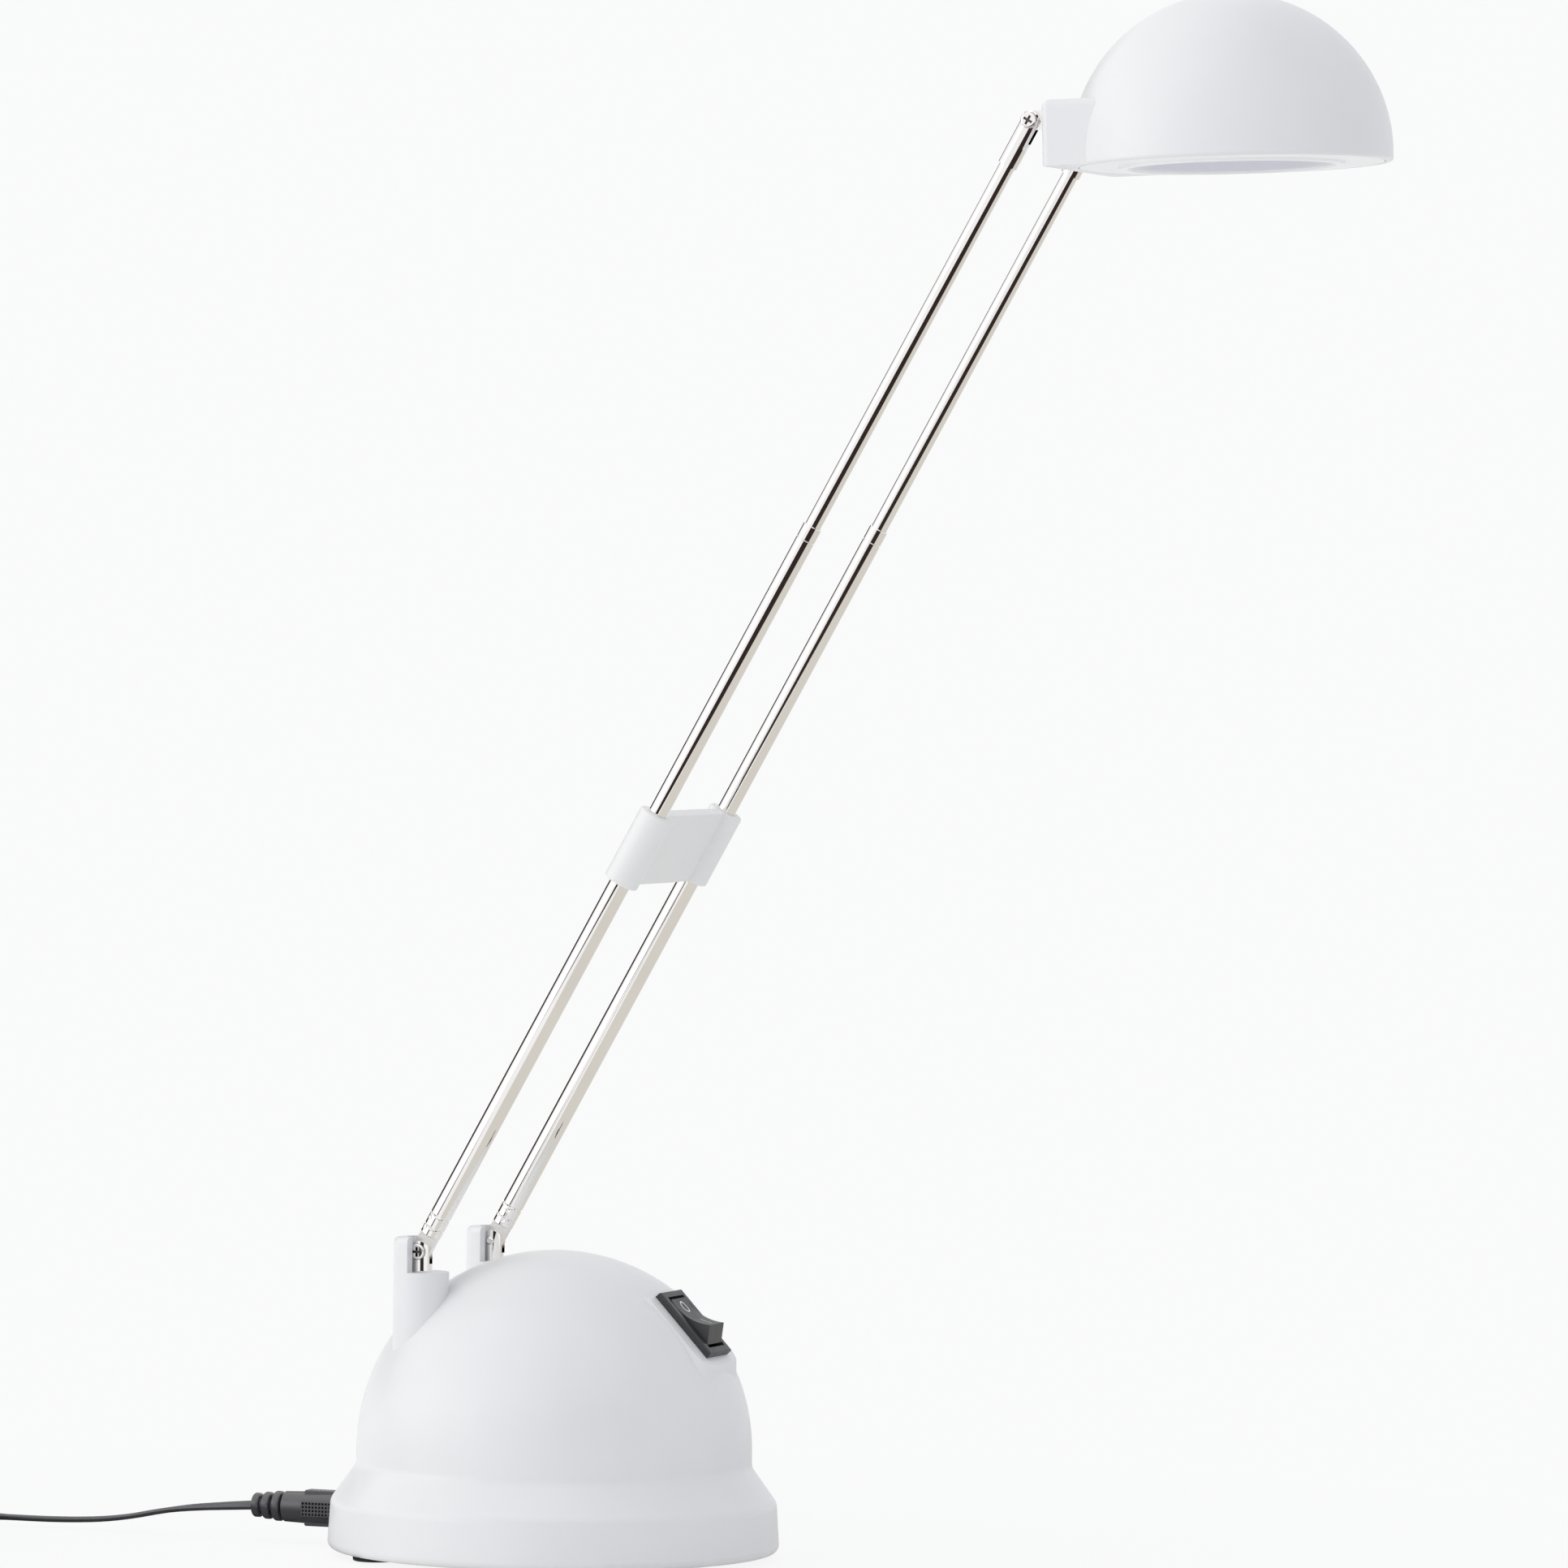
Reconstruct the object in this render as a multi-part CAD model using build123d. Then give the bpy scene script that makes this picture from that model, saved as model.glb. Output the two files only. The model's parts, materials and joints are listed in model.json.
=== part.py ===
from build123d import *
import math
import os

# LED desk lamp: a weighted domed base, twin telescopic arms and a half-ball head.
# Lengths are millimetres and angles are degrees.
# Origin on the base's axis at the table, +X towards the head, +Y to the lamp's left, +Z up.

# Clearances
FIXED_GAP = 0.02        # between pieces fixed to each other
RUNNING_GAP = 0.05      # between a shaft and its hole, or a tube and the tube it slides in
COVER_GAP = 0.2         # round covers and plates that drop into a recess

# Base shell
FOOT_STAND = 1.5        # table to the shell's lower edge
SKIRT_BOTTOM_R = 59.0
SKIRT_TOP_R = 58.2
SKIRT_H = 12.8
SHOULDER_H = 9.2
COLLAR_H = 4.4
DOME_R = 51.6
SHELL_WALL = 2.2
SKIRT_EDGE_ROUND = 2.0
SHOULDER_ROUND = 4.0
SEAM_ANGLE = 95.0       # where the turned form closes, clear of every other feature

# Rear posts that carry the arms
ROD_SETBACK = 27.8      # the posts stand this far behind the base's axis
ROD_SPACING = 49.4
POST_R = 7.25
LEDGE_DROP = 5.1        # the posts' ledge below the dome's top
PIVOT_RISE = 5.3        # lower pivot above the ledge
POST_WALL_RISE = 3.8    # top of the posts' rear wall above the pivot
POST_WALL_FRONT = 1.0   # front of that wall behind the post's axis
CHANNEL_R = 3.8
POST_TOP_ROUND = 1.6
LEDGE_ROUND = 1.0
POST_BOSS_R = 6.0
POST_BOSS_DROP = 21.0   # underside of the inner boss below the ledge

# Forks, tongues and pivot screws
FORK_R = 2.85
UPPER_FORK_R = 2.6
FORK_SLOT = 2.0
TONGUE_T = 1.9
TONGUE_ROUND = 2.5
SLOT_DEPTH = 3.2        # below the pivot
PIVOT_SCREW_R = 1.0
PIVOT_HEAD_R = 2.1
PIVOT_HEAD_T = 1.3
HEAD_SEAT = 2.0         # screw head's seat from the fork's axis
SCREW_TIP = 0.4         # screw's end past the inner cheek
SHANK_R = 2.0
NUT_FLATS = 7.0
NUT_T = 3.2
TAG_T = 0.5
TAG_R = 4.0
TAG_TAIL = 7.0
TAG_TAIL_W = 3.0

# Telescopic arms
ARM_TILT = 29.33        # from upright, at rest
ARM_LENGTH = 334.6      # lower pivot to upper pivot
OUTER_TUBE_R = 2.8
OUTER_TUBE_WALL = 0.25
MIDDLE_TUBE_R = 2.5
MIDDLE_TUBE_WALL = 0.35
INNER_TUBE_R = 2.1
INNER_TUBE_WALL = 0.4
OUTER_TUBE_FROM = 5.0   # from the lower pivot
OUTER_TUBE_TO = 128.5
MIDDLE_TUBE_TO = 216.6
MIDDLE_TUBE_LENGTH = 122.0
INNER_TUBE_LENGTH = 122.0
UPPER_FORK_LENGTH = 13.0  # below the upper pivot
UPPER_FORK_SOCKET = 6.3
UPPER_SLOT_DEPTH = 5.6
KNUCKLE_PLUG = 7.5      # inside the outer tube
COLLAR_HEAD = 2.0
COLLAR_SPIGOT = 5.0
CRIMP_PLACES = (2.2, 5.6)  # ring crimps above the outer tube's lower end
CRIMP_GROOVE_R = 0.16
NECK_RING_DROP = 4.0    # faint ring below the middle tube's top
TUBE_END_CHAMFER = 0.15

# Spacer clip on the upper ends of the outer tubes
SPACER_FROM = 111.0
SPACER_TO = 131.5
SPACER_SLEEVE_R = 4.6
SPACER_WEB_T = 2.8
SPACER_ROUND = 0.6

# Head
HEAD_NOSE_UP = 1.9
HEAD_REACH = 44.8       # head's axis ahead of the upper pivot
HEAD_R = 40.9
HEAD_WALL = 2.0
HEAD_CENTRE_RISE = 2.6  # sphere's centre above the rim plane
RIM_DROP = 11.8         # rim plane below the upper pivot
RIM_ROUND = 0.8
NECK_REAR = 3.4         # neck's rear face ahead of the pivot
NECK_HALF_W = 28.5
NECK_TOP = 5.0
NECK_ROUND = 2.0
NECK_REAR_WALL = 2.5
COVER_T = 2.0
LEDGE_W = 1.2
LEDGE_T = 1.2
HOOK_COUNT = 4
HOOK_W = 6.0
HOOK_T = 1.2
HOOK_BARB = 0.7
HOOK_RISE = 2.4
BEZEL_R = 28.8
BEZEL_PROUD = 0.7
BEZEL_COLLAR_R = 27.5
BEZEL_MOUTH_R = 26.5
BEZEL_THROAT_R = 25.4
BEZEL_LAND = 0.5
DIFFUSER_RIM_W = 1.6    # the diffuser's rim on the bezel's inner end
DIFFUSER_T = 1.5        # that rim's thickness
DIFFUSER_RECESS = 0.5   # its lens behind the bezel's face
REFLECTOR_H = 10.3
REFLECTOR_WALL = 1.2
REFLECTOR_TOP_R = 20.0
BOARD_R = 23.5
BOARD_T = 1.6
LED_SIZE = 3.5
LED_T = 0.8
LED_COUNT = 12
LED_RING_R = 13.0
SPREADER_R = 33.0
SPREADER_T = 2.0
SPREADER_FLAT = 17.0    # flat at the rear of the spreader, behind the head's axis
SPREADER_POST_RING = 30.0
SPREADER_POST_R = 2.6
SPREADER_SCREWS = 3
SMALL_SCREW_R = 1.2
SMALL_HEAD_R = 2.3
SMALL_HEAD_T = 1.3
SMALL_SCREW_GRIP = 6.0
TONGUE_REACH = 13.4     # tongue's length ahead of the pivot
TONGUE_FLANGE_T = 1.5
TONGUE_FLANGE_W = 11.0
TONGUE_FLANGE_H = 5.4
TONGUE_SCREW_IN = 7.0   # tongue screw from the tongue, towards the middle
TONGUE_SCREW_GRIP = 1.6

# Rocker switch
SWITCH_X = 39.3
SWITCH_Z = 62.5         # centre of the bezel's face
SWITCH_SLOPE = 47.0
BEZEL_L = 21.0
BEZEL_W = 15.0
BEZEL_T = 1.8
SWITCH_OPENING_L = 17.2
SWITCH_OPENING_W = 10.8
SWITCH_BODY_L = 19.0
SWITCH_BODY_W = 13.0
SWITCH_BODY_H = 12.0
SWITCH_FLOOR = 2.0
BEZEL_ROUND = 0.5
TERMINAL_W = 4.8
TERMINAL_T = 0.8
TERMINAL_LENGTH = 7.5
TERMINAL_PITCH = 10.0
ROCKER_PIVOT = 3.5      # below the bezel's face
ROCKER_SWING = 17.0     # each side of the middle
ROCKER_FOOT_HALF_L = 8.2
ROCKER_FOOT_H = 1.0
ROCKER_TOP_HALF_L = 6.2
ROCKER_END_H = 5.8
ROCKER_DIP = 1.5
ROCKER_W = 10.2
ROCKER_PIN_R = 1.2
BOSS_HALF_W = 12.5
BOSS_FRONT = 7.6        # boss's front wall ahead of the switch's centre
BOSS_BACK = 11.0        # up the slope from the switch's centre
BOSS_ROUND = 3.5

# Base plate, feet and ballast
PLATE_RECESS = 0.8
PLATE_T = 2.0
PLATE_BOSS_EDGE = 3.5   # boss's side to the plate's edge
PLATE_BOSS_R = 4.0
PLATE_BOSS_ANGLES = (25.0, 155.0, 205.0, 335.0)
PLATE_SCREW_R = 1.4
PLATE_SCREW_GRIP = 8.0
PLATE_SCREW_HEAD_R = 2.6
PLATE_SCREW_HEAD_T = 1.2
FOOT_EDGE = 0.6         # foot's side to the plate's edge
FOOT_R = 5.8
FOOT_SEAT = 0.6
FOOT_COUNT = 4
FOOT_ROUND = 0.5
BALLAST_CLEAR = 2.9     # ballast's side to the screw bosses
BALLAST_T = 10.0
BALLAST_BORE_R = 5.0
BALLAST_HEAD_R = 8.0
BALLAST_HEAD_T = 2.5
BALLAST_SCREW_R = 2.0

# DC socket and plug, on one axis through the skirt
SOCKET_Z = 9.2
SOCKET_NOSE_R = 3.9
SOCKET_BORE_R = 3.0
SOCKET_DEPTH = 10.0
SOCKET_BACK = 3.0
SOCKET_STANDOFF = 1.6   # housing's shoulder behind the skirt's inner face
SOCKET_W = 9.0
SOCKET_H = 8.4
SOCKET_PIN_R = 1.0
SOCKET_TAB_W = 2.0
SOCKET_TAB_T = 0.5
SOCKET_TAB_RISE = 5.0
SOCKET_TAB_PITCH = 5.0
BARREL_R = 2.75
BARREL_WALL = 0.35
BARREL_LENGTH = 9.0
BARREL_ROOT = 2.0       # inside the plug's moulding
PLUG_GAP = 0.6          # plug's face to the skirt
PLUG_R = 4.6
PLUG_END_R = 4.0
PLUG_LENGTH = 16.9
RIB_COUNT = 3
RIB_PITCH = 3.05
RIB_T = 2.2
RIB_FIRST_R = 3.95
RIB_STEP_R = 0.38
RIB_CORE_R = 2.2
RIB_WEB_W = 2.2
GRIP_FROM = 1.0
GRIP_TO = 10.8
GRIP_W = 4.2
GRIP_SUNK = 0.15        # grip pads' faces inside the plug's wider end
GRIP_COUNT = 4

# Supply lead, its coil, tie and wall adapter
LEAD_D = 2.6
LEAD_END_GAP = 0.15     # lead's ends to the mouldings, past their slant
COIL_X = -181.0
COIL_Y = -17.5
COIL_MEAN_R = 15.0
COIL_TURNS = 14.25
COIL_LAYERS = 4
COIL_PITCH = 3.15
COIL_START = 90.0
COIL_LEAD_IN = 15.0     # straight run into the coil
TIE_T = 0.6
TIE_W = 5.0
TIE_GAP = 0.3
TIE_BORE_GAP = 1.0
TIE_ANGLE = 300.0
ADAPTER_L = 52.0
ADAPTER_W = 34.0
ADAPTER_H = 26.0
ADAPTER_WALL = 2.0
ADAPTER_ROUND = 2.5
ADAPTER_COVER_H = 8.0
ADAPTER_RELIEF_L = 14.0
ADAPTER_RELIEF_R = 3.4
ADAPTER_RELIEF_END_R = 2.2
ADAPTER_TAIL = 6.0
ADAPTER_BOARD_T = 1.6
ADAPTER_BOARD_GAP = 3.0
TRANSFORMER_L = 18.0
TRANSFORMER_W = 16.0
TRANSFORMER_H = 12.0
MAINS_PIN_R = 2.0
MAINS_PIN_LENGTH = 19.0
MAINS_PIN_SPACING = 19.0
MAINS_PIN_ROOT = 3.0    # inside the adapter, past its wall
MAINS_PIN_ROOT_R = 1.6
MAINS_PIN_PLACE = 14.0  # from the adapter's far end

# Wires inside the base and head
WIRE_R = 0.6
WIRE_RISE = 4.0         # straight run out of a socket tab
WIRE_SWITCH_RISE = 12.0
WIRE_TAG_RUN = 8.0
WIRE_DOME_CLEAR = 14.0  # wires to the dome's inner face, above the socket
WIRE_DOME_RISE = 10.0   # above the shoulder there
SWITCH_WIRE_ROUTE = ((-22.0, 4.0, 38.0), (-4.0, 5.0, 42.0))
LEFT_TAG_ROUTE = ((10.0, 10.0, 34.0), (-3.0, 22.0, 42.0))
RIGHT_TAG_ROUTE = ((-24.0, -3.0, 40.0), (-2.0, -6.0, 44.0), (7.0, -17.0, 49.0))
HEAD_WIRE_RUN = 7.0
HEAD_WIRE_TURN = 4.0

# Worked-out places
ROD_Y = ROD_SPACING / 2
SIDES = {"right": -1, "left": 1}
SKIRT_TOP_Z = FOOT_STAND + SKIRT_H
SHOULDER_TOP_Z = SKIRT_TOP_Z + SHOULDER_H
DOME_Z = SHOULDER_TOP_Z + COLLAR_H
LEDGE_Z = DOME_Z + DOME_R - LEDGE_DROP
PIVOT_Z = LEDGE_Z + PIVOT_RISE
POST_BOSS_Z = LEDGE_Z - POST_BOSS_DROP
TAG_Z = POST_BOSS_Z - TAG_T
NUT_Z = TAG_Z - NUT_T
PLATE_Z = FOOT_STAND + PLATE_RECESS
PLATE_TOP_Z = PLATE_Z + PLATE_T
SKIRT_TAPER = (SKIRT_BOTTOM_R - SKIRT_TOP_R) / SKIRT_H
PLATE_TOP_SKIRT_R = SKIRT_BOTTOM_R - SKIRT_TAPER * (PLATE_TOP_Z - FOOT_STAND)
PLATE_R = min(SKIRT_BOTTOM_R, PLATE_TOP_SKIRT_R) - SHELL_WALL - COVER_GAP
PLATE_BOSS_RING = PLATE_R - PLATE_BOSS_EDGE - PLATE_BOSS_R
DOME_BORE_R = DOME_R - SHELL_WALL
PLATE_BOSS_TOP_Z = DOME_Z + math.sqrt(max(DOME_BORE_R**2 - PLATE_BOSS_RING**2, 0))
FOOT_RING = PLATE_R - FOOT_EDGE - FOOT_R
BALLAST_R = PLATE_BOSS_RING - PLATE_BOSS_R - BALLAST_CLEAR
OUTER_BORE_R = OUTER_TUBE_R - OUTER_TUBE_WALL
MIDDLE_BORE_R = MIDDLE_TUBE_R - MIDDLE_TUBE_WALL
INNER_BORE_R = INNER_TUBE_R - INNER_TUBE_WALL
UPPER_FORK_FROM = ARM_LENGTH - UPPER_FORK_LENGTH
INNER_TUBE_TO = UPPER_FORK_FROM + UPPER_FORK_SOCKET
RIM_Z = -RIM_DROP
HEAD_CENTRE_Z = RIM_Z + HEAD_CENTRE_RISE
COVER_TOP_Z = RIM_Z + COVER_T
COVER_R = HEAD_R - HEAD_WALL - COVER_GAP
DIFFUSER_R = BEZEL_THROAT_R + DIFFUSER_RIM_W
DIFFUSER_TOP_Z = COVER_TOP_Z + DIFFUSER_T
BOARD_Z = DIFFUSER_TOP_Z + REFLECTOR_H
SPREADER_Z = BOARD_Z + BOARD_T
SKIRT_REAR_X = SKIRT_TAPER * (SOCKET_Z - FOOT_STAND) - SKIRT_BOTTOM_R
PLUG_FACE_X = SKIRT_REAR_X - PLUG_GAP
PLUG_END_X = PLUG_FACE_X - PLUG_LENGTH
RELIEF_END_X = PLUG_END_X - RIB_COUNT * RIB_PITCH
LEAD_R = LEAD_D / 2
COIL_Z = TIE_T + TIE_GAP + LEAD_R
COIL_SWING = COIL_TURNS / COIL_LAYERS * COIL_PITCH / 2
COIL_TOP_Z = COIL_Z + (COIL_LAYERS - 1) * COIL_PITCH

ARM = Pos(-ROD_SETBACK, 0, PIVOT_Z) * Rot(0, ARM_TILT, 0)
UPPER_PIVOT = Vector(
    ARM_LENGTH * math.sin(math.radians(ARM_TILT)) - ROD_SETBACK,
    0,
    ARM_LENGTH * math.cos(math.radians(ARM_TILT)) + PIVOT_Z,
)
HEAD = Pos(UPPER_PIVOT) * Rot(0, -HEAD_NOSE_UP, 0)
SWITCH = Pos(SWITCH_X, 0, SWITCH_Z) * Rot(0, SWITCH_SLOPE, 0)

LOW = (Align.CENTER, Align.CENTER, Align.MIN)


def rod(radius, z0, z1, x=0, y=0):
    """A cylinder along Z."""
    return Pos(x, y, z0) * Cylinder(radius, z1 - z0, align=LOW)


def rod_x(radius, x0, x1, y=0, z=0):
    """A cylinder along X."""
    return Pos(x0, y, z) * Rot(0, 90, 0) * Cylinder(radius, x1 - x0, align=LOW)


def rod_y(radius, y0, y1, x=0, z=0):
    """A cylinder along Y."""
    return Pos(x, y0, z) * Rot(-90, 0, 0) * Cylinder(radius, y1 - y0, align=LOW)


def block(x0, x1, y0, y1, z0, z1):
    """A box between two corners."""
    return Pos(x0, y0, z0) * Box(x1 - x0, y1 - y0, z1 - z0, align=(Align.MIN, Align.MIN, Align.MIN))


def turned(points):
    """A solid turned about Z from an outline of (radius, height) points."""
    return revolve(Plane.XZ * make_face(Polyline(*points, close=True)), Axis.Z)


def rounded(face, corners):
    """The face with each (point, radius) corner rounded."""
    for point, radius in corners:
        corner = face.vertices().sort_by_distance(Vector(*point, 0))[0]
        face = fillet(corner, radius)
    return face


def ring_places(count, radius, first=0.0):
    """Points spread evenly on a circle, with their angles."""
    angles = [first + 360 * i / count for i in range(count)]
    return [(radius * math.cos(math.radians(a)), radius * math.sin(math.radians(a)), a) for a in angles]


def screw(shank_r, grip, head_r, head_t):
    """A pan-head cross screw: its head's seat on Z = 0, its shank below."""
    head = fillet(rod(head_r, 0, head_t).edges().sort_by(Axis.Z)[-1], head_t * 0.45)
    tip = chamfer(rod(shank_r, -grip, head_t / 2).edges().sort_by(Axis.Z)[0], shank_r * 0.3)
    arm, half = head_r * 0.6, head_r * 0.15
    recess = block(-arm, arm, -half, half, head_t * 0.45, head_t)
    return head + tip - recess - Rot(0, 0, 90) * recess


# Base


def base_form(inset, floor):
    """The base's turned form, moved inwards by inset and closed at floor."""
    r = DOME_R - inset
    dome = CenterArc((0, DOME_Z), r, 0, 90)
    shoulder = (r, SHOULDER_TOP_Z)
    skirt_top = (SKIRT_TOP_R - inset, SKIRT_TOP_Z)
    skirt_foot = (SKIRT_BOTTOM_R - inset, floor)
    side = Polyline((r, DOME_Z), shoulder, skirt_top, skirt_foot, (0, floor), (0, DOME_Z + r))
    face = make_face([dome, side])
    corners = [(shoulder, SHOULDER_ROUND), (skirt_top, SHOULDER_ROUND)]
    if not inset:
        corners.append((skirt_foot, SKIRT_EDGE_ROUND))
    return Rot(0, 0, SEAM_ANGLE) * revolve(Plane.XZ * rounded(face, corners), Axis.Z)


def post(side):
    """A post with a low front ledge and a rounded rear wall round the fork's channel."""
    x, y = -ROD_SETBACK, side * ROD_Y
    wall = rod(POST_R, DOME_Z, PIVOT_Z + POST_WALL_RISE, x, y)
    wall = fillet(wall.edges().sort_by(Axis.Z)[-1], POST_TOP_ROUND)
    front = x - POST_WALL_FRONT
    wall -= block(front, front + 2 * POST_R, y - POST_R, y + POST_R, LEDGE_Z, PIVOT_Z + 2 * POST_R)
    ledge = rod(POST_R, DOME_Z, LEDGE_Z, x, y)
    ledge = fillet(ledge.edges().sort_by(Axis.Z)[-1], LEDGE_ROUND)
    return wall + ledge - rod(CHANNEL_R, LEDGE_Z, PIVOT_Z + 2 * POST_R, x, y)


def switch_boss():
    """The platform under the switch: upright sides and front, cut to the switch's slope."""
    front = SWITCH_X + BOSS_FRONT
    prism = block(0, front, -BOSS_HALF_W, BOSS_HALF_W, DOME_Z, SWITCH_Z + BEZEL_L)
    prism = fillet(prism.edges().filter_by(Axis.Z).sort_by(Axis.X)[-2:], BOSS_ROUND)
    reach = 2 * DOME_R
    above = SWITCH * block(-reach, reach, -reach, reach, -BEZEL_T, reach)
    behind = SWITCH * block(-reach, -BOSS_BACK, -reach, reach, -reach, reach)
    return prism - above - behind


def base_shell():
    outside = base_form(0, FOOT_STAND)
    body = outside + switch_boss()
    flat = block(-BOSS_BACK, BEZEL_L, -BOSS_HALF_W, BOSS_HALF_W, -BEZEL_T, DOME_R)
    body -= SWITCH * flat
    for side in SIDES.values():
        body += post(side)
    body -= base_form(SHELL_WALL, FOOT_STAND)
    for side in SIDES.values():
        inner = rod(POST_BOSS_R, POST_BOSS_Z, LEDGE_Z - POST_R / 2, -ROD_SETBACK, side * ROD_Y)
        body += inner & outside
    for angle in PLATE_BOSS_ANGLES:
        boss = Rot(0, 0, angle) * rod(PLATE_BOSS_R, PLATE_TOP_Z, PLATE_BOSS_TOP_Z, PLATE_BOSS_RING)
        body += boss & base_form(SHELL_WALL / 2, FOOT_STAND)
    for side in SIDES.values():
        body -= rod(SHANK_R + FIXED_GAP, DOME_Z, LEDGE_Z, -ROD_SETBACK, side * ROD_Y)
    for angle in PLATE_BOSS_ANGLES:
        pilot = rod(PLATE_SCREW_R + FIXED_GAP, PLATE_Z, PLATE_TOP_Z + PLATE_SCREW_GRIP, PLATE_BOSS_RING)
        body -= Rot(0, 0, angle) * pilot
    half_l, half_w = SWITCH_BODY_L / 2 + FIXED_GAP, SWITCH_BODY_W / 2 + FIXED_GAP
    body -= SWITCH * block(-half_l, half_l, -half_w, half_w, -BEZEL_T - SWITCH_BODY_H, 0)
    return body - rod_x(SOCKET_NOSE_R + FIXED_GAP, -2 * SKIRT_BOTTOM_R, -DOME_R, 0, SOCKET_Z)


def base_plate():
    plate = rod(PLATE_R, PLATE_Z, PLATE_TOP_Z)
    hub = rod(BALLAST_BORE_R - COVER_GAP, PLATE_Z, PLATE_TOP_Z + BALLAST_T)
    plate += hub - rod(BALLAST_SCREW_R + FIXED_GAP, PLATE_TOP_Z, PLATE_TOP_Z + BALLAST_T)
    for angle in PLATE_BOSS_ANGLES:
        sink = rod(PLATE_SCREW_HEAD_R + COVER_GAP, PLATE_Z, PLATE_Z + PLATE_SCREW_HEAD_T, PLATE_BOSS_RING)
        hole = rod(PLATE_SCREW_R + FIXED_GAP, PLATE_Z, PLATE_TOP_Z, PLATE_BOSS_RING)
        plate -= Rot(0, 0, angle) * (sink + hole)
    for x, y, _ in ring_places(FOOT_COUNT, FOOT_RING, 180 / FOOT_COUNT):
        plate -= rod(FOOT_R + FIXED_GAP, PLATE_Z, PLATE_Z + FOOT_SEAT, x, y)
    return plate


def base_plate_screws():
    one = screw(PLATE_SCREW_R, PLATE_SCREW_GRIP, PLATE_SCREW_HEAD_R, PLATE_SCREW_HEAD_T)
    seat = Pos(PLATE_BOSS_RING, 0, PLATE_Z + PLATE_SCREW_HEAD_T) * Rot(180, 0, 0)
    return [Rot(0, 0, angle) * seat * one for angle in PLATE_BOSS_ANGLES]


def rubber_feet():
    one = rod(FOOT_R, 0, PLATE_Z + FOOT_SEAT)
    one = fillet(one.edges().sort_by(Axis.Z)[0], FOOT_ROUND)
    return [Pos(x, y, 0) * one for x, y, _ in ring_places(FOOT_COUNT, FOOT_RING, 180 / FOOT_COUNT)]


def ballast():
    disc = rod(BALLAST_R, PLATE_TOP_Z, PLATE_TOP_Z + BALLAST_T)
    return disc - rod(BALLAST_BORE_R, PLATE_TOP_Z, PLATE_TOP_Z + BALLAST_T)


def ballast_screw():
    one = screw(BALLAST_SCREW_R, BALLAST_T - FIXED_GAP, BALLAST_HEAD_R, BALLAST_HEAD_T)
    return Pos(0, 0, PLATE_TOP_Z + BALLAST_T) * one


# Switch, in its own frame: Z out of the bezel's face, X down the slope


def switch_housing():
    half_l, half_w = SWITCH_BODY_L / 2, SWITCH_BODY_W / 2
    bezel = block(-BEZEL_L / 2, BEZEL_L / 2, -BEZEL_W / 2, BEZEL_W / 2, -BEZEL_T, 0)
    bezel = fillet(bezel.edges().group_by(Axis.Z)[-1], BEZEL_ROUND)
    depth = BEZEL_T + SWITCH_BODY_H
    body = bezel + block(-half_l, half_l, -half_w, half_w, -depth, -BEZEL_T / 2)
    open_l, open_w = SWITCH_OPENING_L / 2, SWITCH_OPENING_W / 2
    body -= block(-open_l, open_l, -open_w, open_w, SWITCH_FLOOR - depth, 0)
    body -= rod_y(ROCKER_PIN_R + RUNNING_GAP, -half_w, half_w, 0, -ROCKER_PIVOT)
    for x in (-TERMINAL_PITCH / 2, TERMINAL_PITCH / 2):
        body -= terminal(x, FIXED_GAP)
    return SWITCH * body


def terminal(x, gap):
    """A flat tab through the switch's floor, from its contact down."""
    depth = BEZEL_T + SWITCH_BODY_H
    half_t, half_w = TERMINAL_T / 2 + gap, TERMINAL_W / 2 + gap
    tip, root = -depth - TERMINAL_LENGTH, 1 + SWITCH_FLOOR - depth
    return block(x - half_t, x + half_t, -half_w, half_w, tip, root)


def switch_terminals():
    return [SWITCH * terminal(x, 0) for x in (-TERMINAL_PITCH / 2, TERMINAL_PITCH / 2)]


def switch_rocker():
    """A dished rocker, drawn level about its pivot and then rocked with its upper end in."""
    foot = (-ROCKER_FOOT_HALF_L, ROCKER_FOOT_H), (ROCKER_FOOT_HALF_L, ROCKER_FOOT_H)
    top = (-ROCKER_TOP_HALF_L, ROCKER_END_H), (ROCKER_TOP_HALF_L, ROCKER_END_H)
    dish = ThreePointArc(top[1], (0, ROCKER_END_H - ROCKER_DIP), top[0])
    keel = Polyline(top[0], foot[0], (0, -ROCKER_PIVOT), foot[1], top[1])
    profile = Plane.XZ * make_face([dish, keel])
    body = extrude(profile, ROCKER_W / 2, both=True)
    pin_end = SWITCH_BODY_W / 2 - RUNNING_GAP
    body += rod_y(ROCKER_PIN_R, -pin_end, pin_end)
    return SWITCH * Pos(0, 0, -ROCKER_PIVOT) * Rot(0, -ROCKER_SWING, 0) * body


# DC socket


def socket_housing():
    inner = SKIRT_REAR_X + SHELL_WALL + SOCKET_STANDOFF
    back = SKIRT_REAR_X + SOCKET_DEPTH + SOCKET_BACK
    half_w, half_h = SOCKET_W / 2, SOCKET_H / 2
    body = block(inner, back, -half_w, half_w, SOCKET_Z - half_h, SOCKET_Z + half_h)
    body += rod_x(SOCKET_NOSE_R, SKIRT_REAR_X, inner + 1, 0, SOCKET_Z)
    body -= rod_x(SOCKET_BORE_R, SKIRT_REAR_X - 1, SKIRT_REAR_X + SOCKET_DEPTH, 0, SOCKET_Z)
    body -= rod_x(SOCKET_PIN_R + FIXED_GAP, SKIRT_REAR_X, back, 0, SOCKET_Z)
    for side in SIDES.values():
        body -= socket_tab(side, FIXED_GAP)
    return body


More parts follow.
